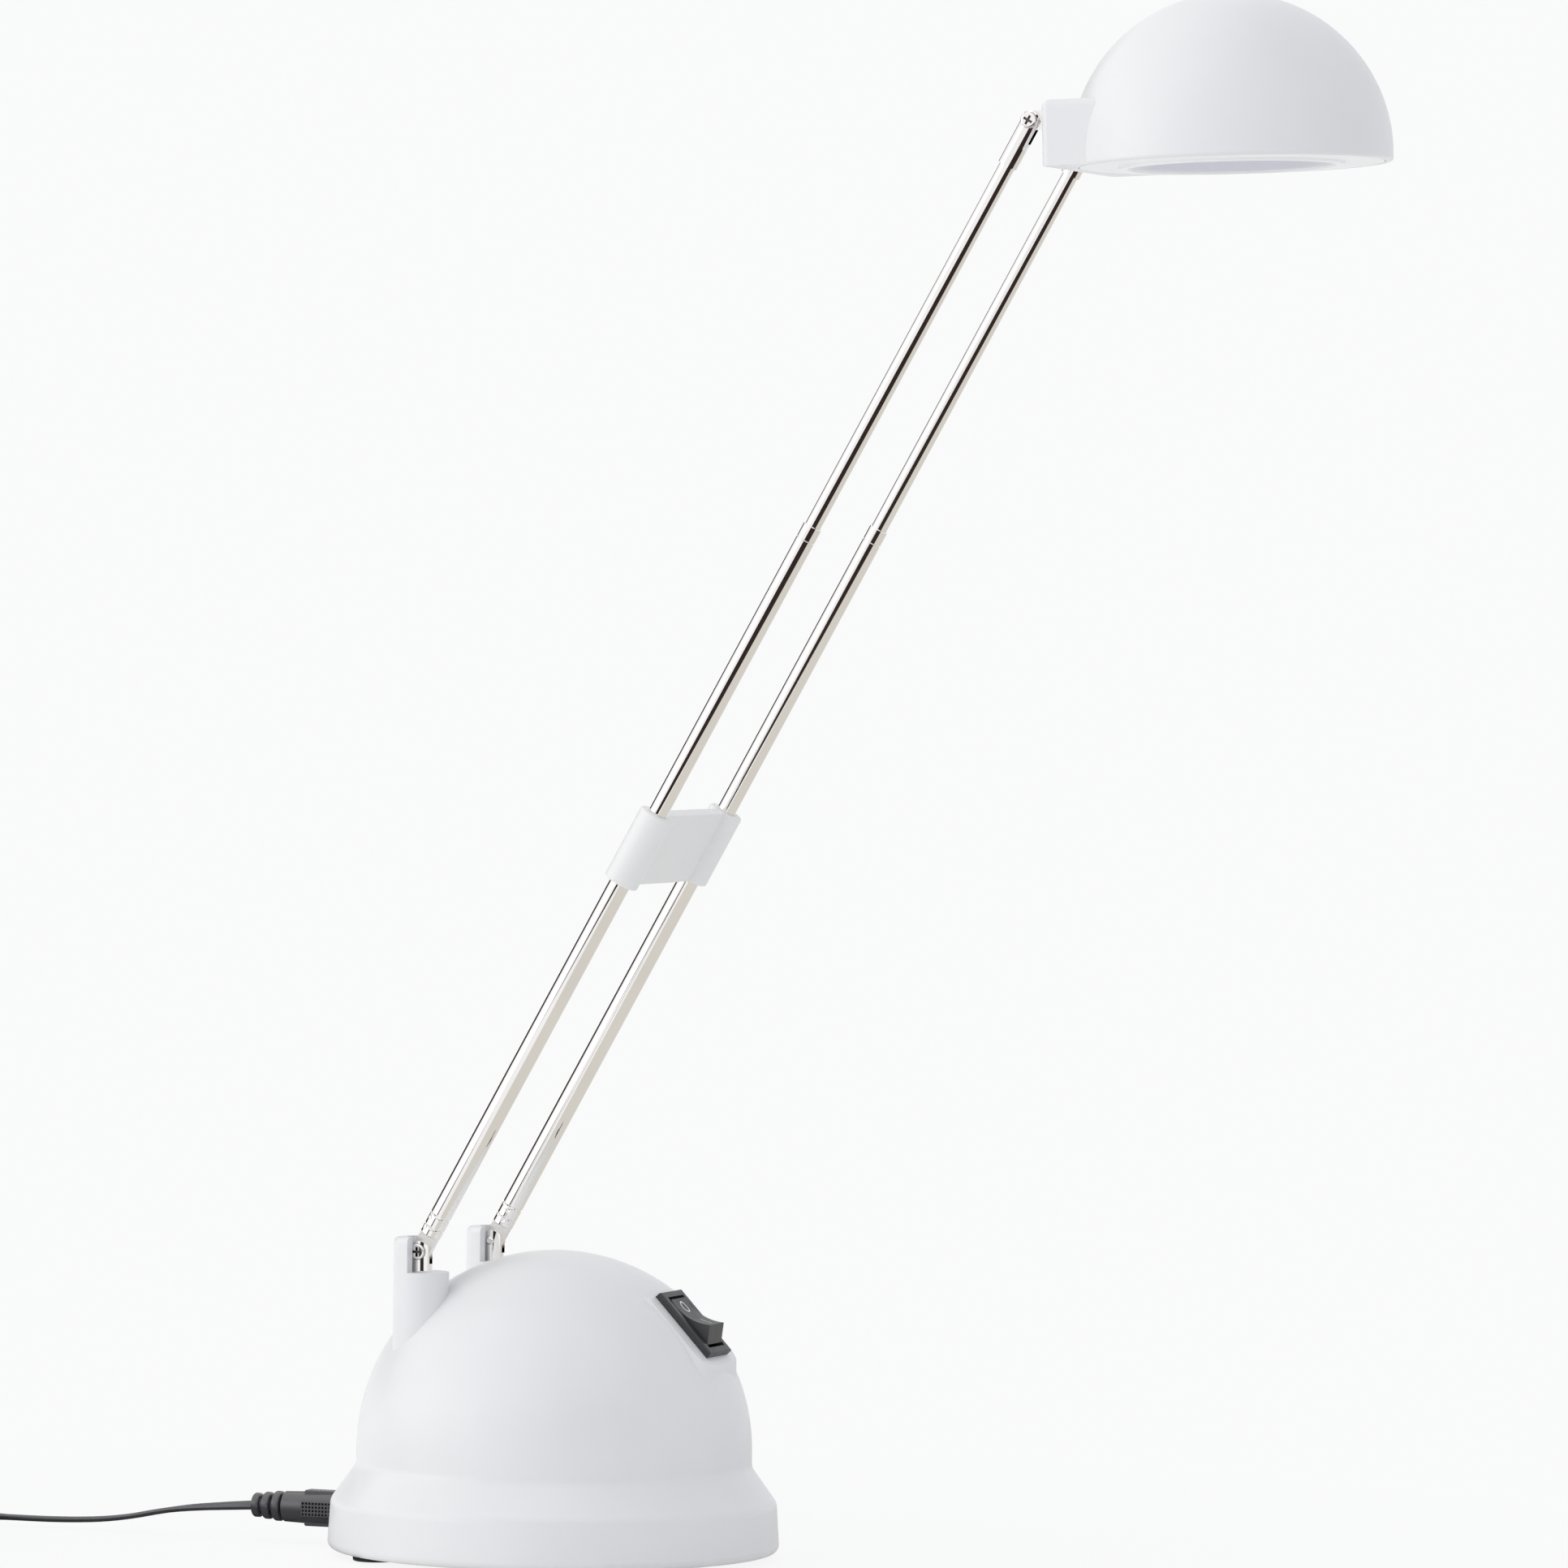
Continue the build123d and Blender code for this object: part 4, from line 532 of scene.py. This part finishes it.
def coil_point(turn):
    """Place on the coil's centre line after a number of turns, by the CAD's own rule."""
    per_layer = COIL_TURNS / COIL_LAYERS
    swing = per_layer * COIL_PITCH / 2
    layer = min(int(turn / per_layer), COIL_LAYERS - 1)
    into = turn - layer * per_layer
    reversal = round(turn / per_layer)
    from_reversal = turn - reversal * per_layer
    share = into if layer % 2 == 0 else per_layer - into
    height = layer
    if 0 < reversal < COIL_LAYERS and abs(from_reversal) < COIL_REVERSAL:
        bend = from_reversal**2 / (2 * COIL_REVERSAL) + COIL_REVERSAL / 2
        share = per_layer - bend if reversal % 2 else bend
        height = reversal - 0.5 + 0.5 * math.sin(math.pi / 2 * from_reversal / COIL_REVERSAL)
    radius = COIL_MEAN_R + swing - COIL_PITCH * share
    angle = COIL_START + 2 * math.pi * turn
    x = COIL_X + radius * math.cos(angle)
    y = COIL_Y + radius * math.sin(angle)
    return Vector((x, y, COIL_Z + COIL_PITCH * height))


def coil_heading(turn):
    step = 1e-4
    low, high = max(turn - step, 0), min(turn + step, COIL_TURNS)
    return (coil_point(high) - coil_point(low)).normalized()


def lead_route():
    """Control points from inside the plug's relief, down to the table, round the coil, into the adapter."""
    start = coil_point(0) - coil_heading(0) * LEAD_W
    end = coil_point(COIL_TURNS)
    out = coil_heading(COIL_TURNS)
    points = [Vector((RELIEF_END_X + LEAD_BURIED, 0, SOCKET_Z))]
    points += [Vector(place) * MM for place in LEAD_DOWN_MM]
    points += [start - coil_heading(0) * COIL_LEAD_IN, start]
    points += [coil_point(i / COIL_STEPS) for i in range(int(COIL_TURNS * COIL_STEPS) + 1)]
    points += [end + out * LEAD_W, end + out * (LEAD_W + TAIL + LEAD_BURIED)]
    return points


def smooth_line(points, resolution):
    """Points along the NURBS spline that has the route as its control points."""
    curve = bpy.data.curves.new("route", "CURVE")
    curve.dimensions = "3D"
    curve.resolution_u = resolution
    spline = curve.splines.new("NURBS")
    spline.points.add(len(points) - 1)
    for control, point in zip(spline.points, points):
        control.co = (*point, 1)
    spline.order_u = 3
    spline.use_endpoint_u = True
    holder = bpy.data.objects.new("route", curve)
    bpy.context.scene.collection.objects.link(holder)
    bpy.context.view_layer.update()
    mesh = bpy.data.meshes.new_from_object(holder.evaluated_get(bpy.context.evaluated_depsgraph_get()))
    line = [v.co.copy() for v in mesh.vertices]
    bpy.data.meshes.remove(mesh)
    bpy.data.objects.remove(holder)
    bpy.data.curves.remove(curve)
    return line


def twin_profile(steps):
    """Outline of two cores side by side, joined by a web: x across the pair, y through it."""
    r = LEAD_T / 2
    offset = LEAD_W / 2 - r
    groove = math.acos(-offset / r)
    outline = []
    for i in range(steps):
        angle = -groove + 2 * groove * i / steps
        outline.append((offset + r * math.cos(angle), r * math.sin(angle)))
    for i in range(steps):
        angle = math.pi - groove + 2 * groove * i / steps
        outline.append((-offset + r * math.cos(angle), r * math.sin(angle)))
    return outline


def lead_twist(run, coil_from):
    """How far the flat lead has turned from lying flat: half up at the plug, on edge in the coil."""
    at_plug = LEAD_PLUG_TURN * max(0.0, 1 - run / LEAD_PLUG_RUN)
    into_coil = min(1.0, max(0.0, (run - coil_from + LEAD_COIL_RUN) / LEAD_COIL_RUN))
    return at_plug + LEAD_COIL_TURN * into_coil * into_coil * (3 - 2 * into_coil)


def make_lead():
    line = smooth_line(lead_route(), LEAD_RESOLUTION)
    profile = twin_profile(LEAD_ARC_STEPS)
    size = len(profile)
    entry = coil_point(0)
    runs = [0.0]
    for a, b in zip(line, line[1:]):
        runs.append(runs[-1] + (b - a).length)
    coil_from = next(r for p, r in zip(line, runs) if (p - entry).length < COIL_REACHED)
    verts, rings = [], []
    for i, point in enumerate(line):
        tangent = (line[min(i + 1, len(line) - 1)] - line[max(i - 1, 0)]).normalized()
        side = tangent.cross(Vector((0, 0, 1))).normalized()
        lift = side.cross(tangent)
        angle = lead_twist(runs[i], coil_from)
        across = side * math.cos(angle) + lift * math.sin(angle)
        through = lift * math.cos(angle) - side * math.sin(angle)
        rings.append(len(verts))
        verts += [point + across * x + through * y for x, y in profile]
    faces = grid_faces(rings, size)
    faces.append(tuple(range(size)))
    faces.append(tuple(rings[-1] + j for j in range(size)))
    jacket = MATERIALS["lead_jacket"]
    lead = add_piece("supply_cord", verts, faces, "supply", jacket, sharp=60.0)
    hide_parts("supply_lead", "lead_coil", "lead_tail")


# Outer tubes with their crimp rings and punch marks


def tube_heights():
    """Ring heights along the outer tube, close together where it is crimped and punched."""
    low = [i * WORKED_STEP for i in range(int(WORKED_L / WORKED_STEP) + 1)]
    rest = OUTER_TUBE_TO - OUTER_TUBE_FROM - low[-1]
    high = [low[-1] + rest * i / PLAIN_RINGS for i in range(1, PLAIN_RINGS + 1)]
    return low + high


def crimp(height):
    depth = 0.0
    for place in CRIMPS:
        away = abs(height - place) / CRIMP_HALF_W
        if away < 1:
            depth += CRIMP_DEPTH * (0.5 + 0.5 * math.cos(math.pi * away))
    return depth


def punch(height, angle):
    """Depth of the four dents in each row, with one of them at angle 0."""
    quarter = math.pi / 2
    across = (angle + quarter / 2) % quarter - quarter / 2
    depth = 0.0
    for row in PUNCH_ROWS:
        away = math.hypot(height - row, across * OUTER_TUBE_R) / PUNCH_R
        if away < 1:
            depth += PUNCH_DEPTH * (1 - away * away) ** PUNCH_POWER
    return depth


def make_outer_tube(side, y):
    verts, rings = [], []
    heights = tube_heights()
    turns = [2 * math.pi * j / TUBE_SEGMENTS for j in range(TUBE_SEGMENTS)]
    for h in heights:
        rings.append(len(verts))
        for angle in turns:
            r = OUTER_TUBE_R - crimp(h) - punch(h, angle - PUNCH_TURNS[side])
            if h in (heights[0], heights[-1]):
                r -= TUBE_LIP
            verts.append((r * math.cos(angle), r * math.sin(angle), OUTER_TUBE_FROM + h))
    bore = OUTER_TUBE_R - OUTER_TUBE_WALL - PUNCH_ROOM
    for h in (heights[-1], heights[0]):
        rings.append(len(verts))
        verts += [(bore * math.cos(a), bore * math.sin(a), OUTER_TUBE_FROM + h) for a in turns]
    faces = grid_faces(rings, TUBE_SEGMENTS, closed_rings=True)
    name, material = f"crimped_tube_{side}", MATERIALS["chrome"]
    tube = add_piece(name, verts, faces, "lower_arm", material, arm_matrix(y))
    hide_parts(f"outer_tube_{side}")


# Printed marks on the rocker


def dish(x):
    """Height of the rocker's dished top above its pivot."""
    radius = (ROCKER_TOP_HALF_L**2 + ROCKER_DIP**2) / (2 * ROCKER_DIP)
    middle = ROCKER_END_H - ROCKER_DIP + radius
    return middle - math.sqrt(radius**2 - x * x)


def mark_solid(name, outline_rings, closed):
    """A thin print that follows the dish: rings of (x, y) points, drawn above and below the surface."""
    verts, rings = [], []
    size = len(outline_rings[0])
    levels = [(ring, MARK_PROUD) for ring in outline_rings]
    levels += [(ring, -MARK_SUNK) for ring in reversed(outline_rings)]
    for ring, lift in levels:
        rings.append(len(verts))
        verts += [(x, y, dish(x) + lift) for x, y in ring]
    faces = grid_faces(rings, size, closed_rings=closed)
    if not closed:
        faces.append(tuple(range(size)))
        faces.append(tuple(rings[-1] + j for j in range(size)))
    add_piece(name, verts, faces, "rocker", MARK_INK, rocker_matrix(), smooth=False)


def make_marks():
    turns = [2 * math.pi * j / MARK_O_STEPS for j in range(MARK_O_STEPS)]
    circles = [
        [(MARK_O_X + r * math.cos(a), MARK_O_SQUASH * r * math.sin(a)) for a in turns]
        for r in MARK_O_RADII
    ]
    mark_solid("mark_off_ring", circles, True)
    cuts = [2 * MARK_I_HALF_L * j / MARK_I_CUTS for j in range(MARK_I_CUTS + 1)]
    near = [(MARK_I_X - MARK_I_HALF_L + cut, -MARK_I_HALF_W) for cut in cuts]
    far = [(x, MARK_I_HALF_W) for x, _ in reversed(near)]
    mark_solid("mark_on_bar", [near + far], False)


# Dimpled grips on the plug


def make_grip(index):
    """A sheet of small square dimples on one of the plug's flat pads, their walls and floors near-black as
    painted shade.
    """
    cell_l = (PAD_TO - PAD_FROM - 2 * PAD_EDGE) / DIMPLE_COLUMNS
    cell_w = (PAD_W - 2 * PAD_EDGE) / DIMPLE_ROWS
    top = PAD_R + DIMPLE_DEPTH
    rims = ((1.0, top), (DIMPLE_SHARE, top), (DIMPLE_SHARE * DIMPLE_TAPER, PAD_R + DIMPLE_FLOOR))
    verts, faces, shaded_faces = [], [], []
    seen = {}

    def vert(a, b, r):
        key = (round(a * 1e8), round(b * 1e8), round(r * 1e8))
        if key not in seen:
            seen[key] = len(verts)
            verts.append((r, b, a))
        return seen[key]

    start, edge = PAD_FROM + PAD_EDGE, -PAD_W / 2 + PAD_EDGE
    for i in range(DIMPLE_COLUMNS):
        for j in range(DIMPLE_ROWS):
            a0, b0 = start + i * cell_l, edge + j * cell_w
            ring = []
            for share, r in rims:
                da, db = cell_l * (1 - share) / 2, cell_w * (1 - share) / 2
                ring.append([
                    vert(a0 + da, b0 + db, r),
                    vert(a0 + cell_l - da, b0 + db, r),
                    vert(a0 + cell_l - da, b0 + cell_w - db, r),
                    vert(a0 + da, b0 + cell_w - db, r),
                ])
            for low, high in zip(ring, ring[1:]):
                for k in range(4):
                    faces.append((low[k], low[(k + 1) % 4], high[(k + 1) % 4], high[k]))
            faces.append(tuple(ring[-1]))
            # The last five faces are the dimple's four walls and its floor, which take the painted shade
            shaded_faces += range(len(faces) - 5, len(faces))
    a_ends = (start, start + DIMPLE_COLUMNS * cell_l)
    b_ends = (edge, edge + DIMPLE_ROWS * cell_w)
    around = [(start + i * cell_l, b_ends[0]) for i in range(DIMPLE_COLUMNS)]
    around += [(a_ends[1], edge + j * cell_w) for j in range(DIMPLE_ROWS)]
    around += [(a_ends[1] - i * cell_l, b_ends[1]) for i in range(DIMPLE_COLUMNS)]
    around += [(a_ends[0], b_ends[1] - j * cell_w) for j in range(DIMPLE_ROWS)]
    grow = PAD_EDGE * PAD_FOOT_SHARE
    middle = (a_ends[0] + a_ends[1]) / 2
    foot = []
    for a, b in around:
        a_out = grow * (1 if a > middle else -1) if a in a_ends else 0.0
        b_out = grow * (1 if b > 0 else -1) if b in b_ends else 0.0
        foot.append(vert(a + a_out, b + b_out, PAD_R - PAD_SUNK))
    head = [vert(a, b, top) for a, b in around]
    for k in range(len(around)):
        n = (k + 1) % len(around)
        faces.append((head[k], head[n], foot[n], foot[k]))
    faces.append(tuple(foot))
    place = Matrix.Translation((PLUG_FACE_X, 0, SOCKET_Z)) @ Matrix.Rotation(-math.pi / 2, 4, "Y")
    place = place @ Matrix.Rotation(2 * math.pi / GRIPS * index, 4, "Z")
    name, material = f"plug_grip_{index + 1}", MATERIALS["plug_plastic"]
    grip = add_piece(name, verts, faces, "supply", material, place, smooth=False)
    grip.data.materials.append(GRIP_HOLE_SHADE)
    for i in shaded_faces:
        grip.data.polygons[i].material_index = 1


# Stage


def seen_rays(tree):
    """1 for camera, glossy and transmission rays, 0 for the light that falls on things."""
    path = tree.nodes.new("ShaderNodeLightPath")
    total = path.outputs["Is Camera Ray"]
    for name in ("Is Glossy Ray", "Is Transmission Ray"):
        node = tree.nodes.new("ShaderNodeMath")
        node.operation = "MAXIMUM"
        tree.links.new(total, node.inputs[0])
        tree.links.new(path.outputs[name], node.inputs[1])
        total = node.outputs["Value"]
    return total


def make_world():
    """A plain background to look at; the light itself is stronger from the left."""
    world = bpy.data.worlds.new("studio")
    bpy.context.scene.world = world
    world.use_nodes = True
    tree = world.node_tree
    tree.nodes.clear()
    seen = tree.nodes.new("ShaderNodeBackground")
    seen.inputs["Color"].default_value = (*BACKGROUND, 1)
    light = tree.nodes.new("ShaderNodeBackground")
    place = tree.nodes.new("ShaderNodeTexCoord")
    leftward = tree.nodes.new("ShaderNodeVectorMath")
    leftward.operation = "DOT_PRODUCT"
    leftward.inputs[1].default_value = seen_from_camera(*LIGHT_FROM)
    share = tree.nodes.new("ShaderNodeMapRange")
    share.inputs["From Min"].default_value = -1.0
    tones = tree.nodes.new("ShaderNodeMix")
    tones.data_type = "RGBA"
    tones.inputs["A"].default_value = (*LIGHT_RIGHT, 1)
    tones.inputs["B"].default_value = (*LIGHT_LEFT, 1)
    tree.links.new(place.outputs["Generated"], leftward.inputs[0])
    tree.links.new(leftward.outputs["Value"], share.inputs["Value"])
    tree.links.new(share.outputs["Result"], tones.inputs["Factor"])
    tree.links.new(tones.outputs["Result"], light.inputs["Color"])
    mix = tree.nodes.new("ShaderNodeMixShader")
    out = tree.nodes.new("ShaderNodeOutputWorld")
    tree.links.new(seen_rays(tree), mix.inputs["Fac"])
    tree.links.new(light.outputs["Background"], mix.inputs[1])
    tree.links.new(seen.outputs["Background"], mix.inputs[2])
    tree.links.new(mix.outputs["Shader"], out.inputs["Surface"])


def flat_piece(name, corners):
    mesh = bpy.data.meshes.new(name)
    mesh.from_pydata(corners, [], [tuple(range(len(corners)))])
    piece = bpy.data.objects.new(name, mesh)
    bpy.context.scene.collection.objects.link(piece)
    return piece


def make_floor():
    """A pale floor that fades into the background, with a soft shadow under the lamp."""
    half = FLOOR_HALF
    floor = flat_piece("floor", [(-half, -half, 0), (half, -half, 0), (half, half, 0), (-half, half, 0)])
    floor.location.z = FLOOR_Z
    material = bpy.data.materials.new("floor")
    material.cycles.emission_sampling = "NONE"
    material.use_nodes = True
    tree = material.node_tree
    tree.nodes.clear()
    plain = tree.nodes.new("ShaderNodeBsdfDiffuse")
    plain.inputs["Color"].default_value = (*FLOOR_COLOUR, 1)
    bright = tree.nodes.new("ShaderNodeEmission")
    bright.inputs["Color"].default_value = (*BACKGROUND, 1)
    place = tree.nodes.new("ShaderNodeTexCoord")
    length = tree.nodes.new("ShaderNodeVectorMath")
    length.operation = "LENGTH"
    fade = tree.nodes.new("ShaderNodeMapRange")
    fade.interpolation_type = "SMOOTHSTEP"
    for end, reach, share in zip(("Min", "Max"), FLOOR_FADE, FLOOR_FADE_SHARES):
        fade.inputs[f"From {end}"].default_value = reach
        fade.inputs[f"To {end}"].default_value = share
    both = tree.nodes.new("ShaderNodeMath")
    both.operation = "MULTIPLY"
    mix = tree.nodes.new("ShaderNodeMixShader")
    out = tree.nodes.new("ShaderNodeOutputMaterial")
    tree.links.new(place.outputs["Object"], length.inputs[0])
    tree.links.new(length.outputs["Value"], fade.inputs["Value"])
    tree.links.new(fade.outputs["Result"], both.inputs[0])
    tree.links.new(seen_rays(tree), both.inputs[1])
    tree.links.new(both.outputs["Value"], mix.inputs["Fac"])
    tree.links.new(plain.outputs["BSDF"], mix.inputs[1])
    tree.links.new(bright.outputs["Emission"], mix.inputs[2])
    tree.links.new(mix.outputs["Shader"], out.inputs["Surface"])
    floor.data.materials.append(material)


def glow(name, colour):
    material = bpy.data.materials.new(name)
    material.cycles.emission_sampling = "NONE"
    material.use_nodes = True
    tree = material.node_tree
    tree.nodes.clear()
    light = tree.nodes.new("ShaderNodeEmission")
    light.inputs["Color"].default_value = (*colour, 1)
    out = tree.nodes.new("ShaderNodeOutputMaterial")
    tree.links.new(light.outputs["Emission"], out.inputs["Surface"])
    return material


def studio_card(name, corners, colour):
    """What the studio shows in polished metal only: no light, no shadow, unseen by the camera."""
    card = flat_piece(name, corners)
    card.data.materials.append(glow(name, colour))
    card.visible_camera = False
    card.visible_diffuse = False
    card.visible_shadow = False
    card.visible_transmission = False


def level_card(name, right, back, up, colour):
    """A level card between two places to the right and two towards the camera."""
    (r0, r1), (b0, b1) = right, back
    places = ((r0, b0, up), (r1, b0, up), (r1, b1, up), (r0, b1, up))
    studio_card(name, [seen_from_camera(*p) for p in places], colour)


def upright_card(name, start, end, bottom, top, colour):
    """An upright card between two places, each to the right and towards the camera."""
    places = ((*start, bottom), (*end, bottom), (*end, top), (*start, top))
    studio_card(name, [seen_from_camera(*p) for p in places], colour)


def kerb_place(degrees):
    """A place on the kerb's circle, by its angle from the camera towards the right."""
    angle = math.radians(degrees)
    return (KERB_R * math.sin(angle), KERB_R * math.cos(angle))


def make_cards():
    level_card("card_table", *CARD_TABLE, CARD_LOW_Z, CARD_WARM)
    level_card("card_mat", *CARD_MAT, CARD_LOW_Z, CARD_DARK)
    level_card("card_shelf", *CARD_SHELF, CARD_SHELF_Z, CARD_DARK)
    upright_card("card_back_left", *CARD_BACK, *CARD_BACK_Z, CARD_DARK)
    for i, (low, high) in enumerate(KERB_DEGREES):
        upright_card(f"card_kerb_{i + 1}", kerb_place(low), kerb_place(high), *KERB_Z, CARD_DARK)


def soft_lamp(name, place, size, power, colour):
    data = bpy.data.lights.new(name, "AREA")
    data.shape = "RECTANGLE"
    data.size, data.size_y = size
    data.energy = power
    data.color = colour
    lamp = bpy.data.objects.new(name, data)
    lamp.location = seen_from_camera(*place)
    lamp.rotation_mode = "QUATERNION"
    lamp.rotation_quaternion = (Vector(LAMP_TARGET) - lamp.location).to_track_quat("-Z", "Y")
    bpy.context.scene.collection.objects.link(lamp)


make_camera()
make_lead()
dress_nodes()
for side, y in (("right", -ROD_Y), ("left", ROD_Y)):
    make_outer_tube(side, y)
make_marks()
for index in range(GRIPS):
    make_grip(index)
make_world()
make_floor()
make_cards()
soft_lamp("key", KEY_PLACE, KEY_SIZE, KEY_POWER, KEY_COLOUR)
soft_lamp("top", TOP_PLACE, TOP_SIZE, TOP_POWER, TOP_COLOUR)
bpy.context.scene.view_settings.view_transform = "Standard"
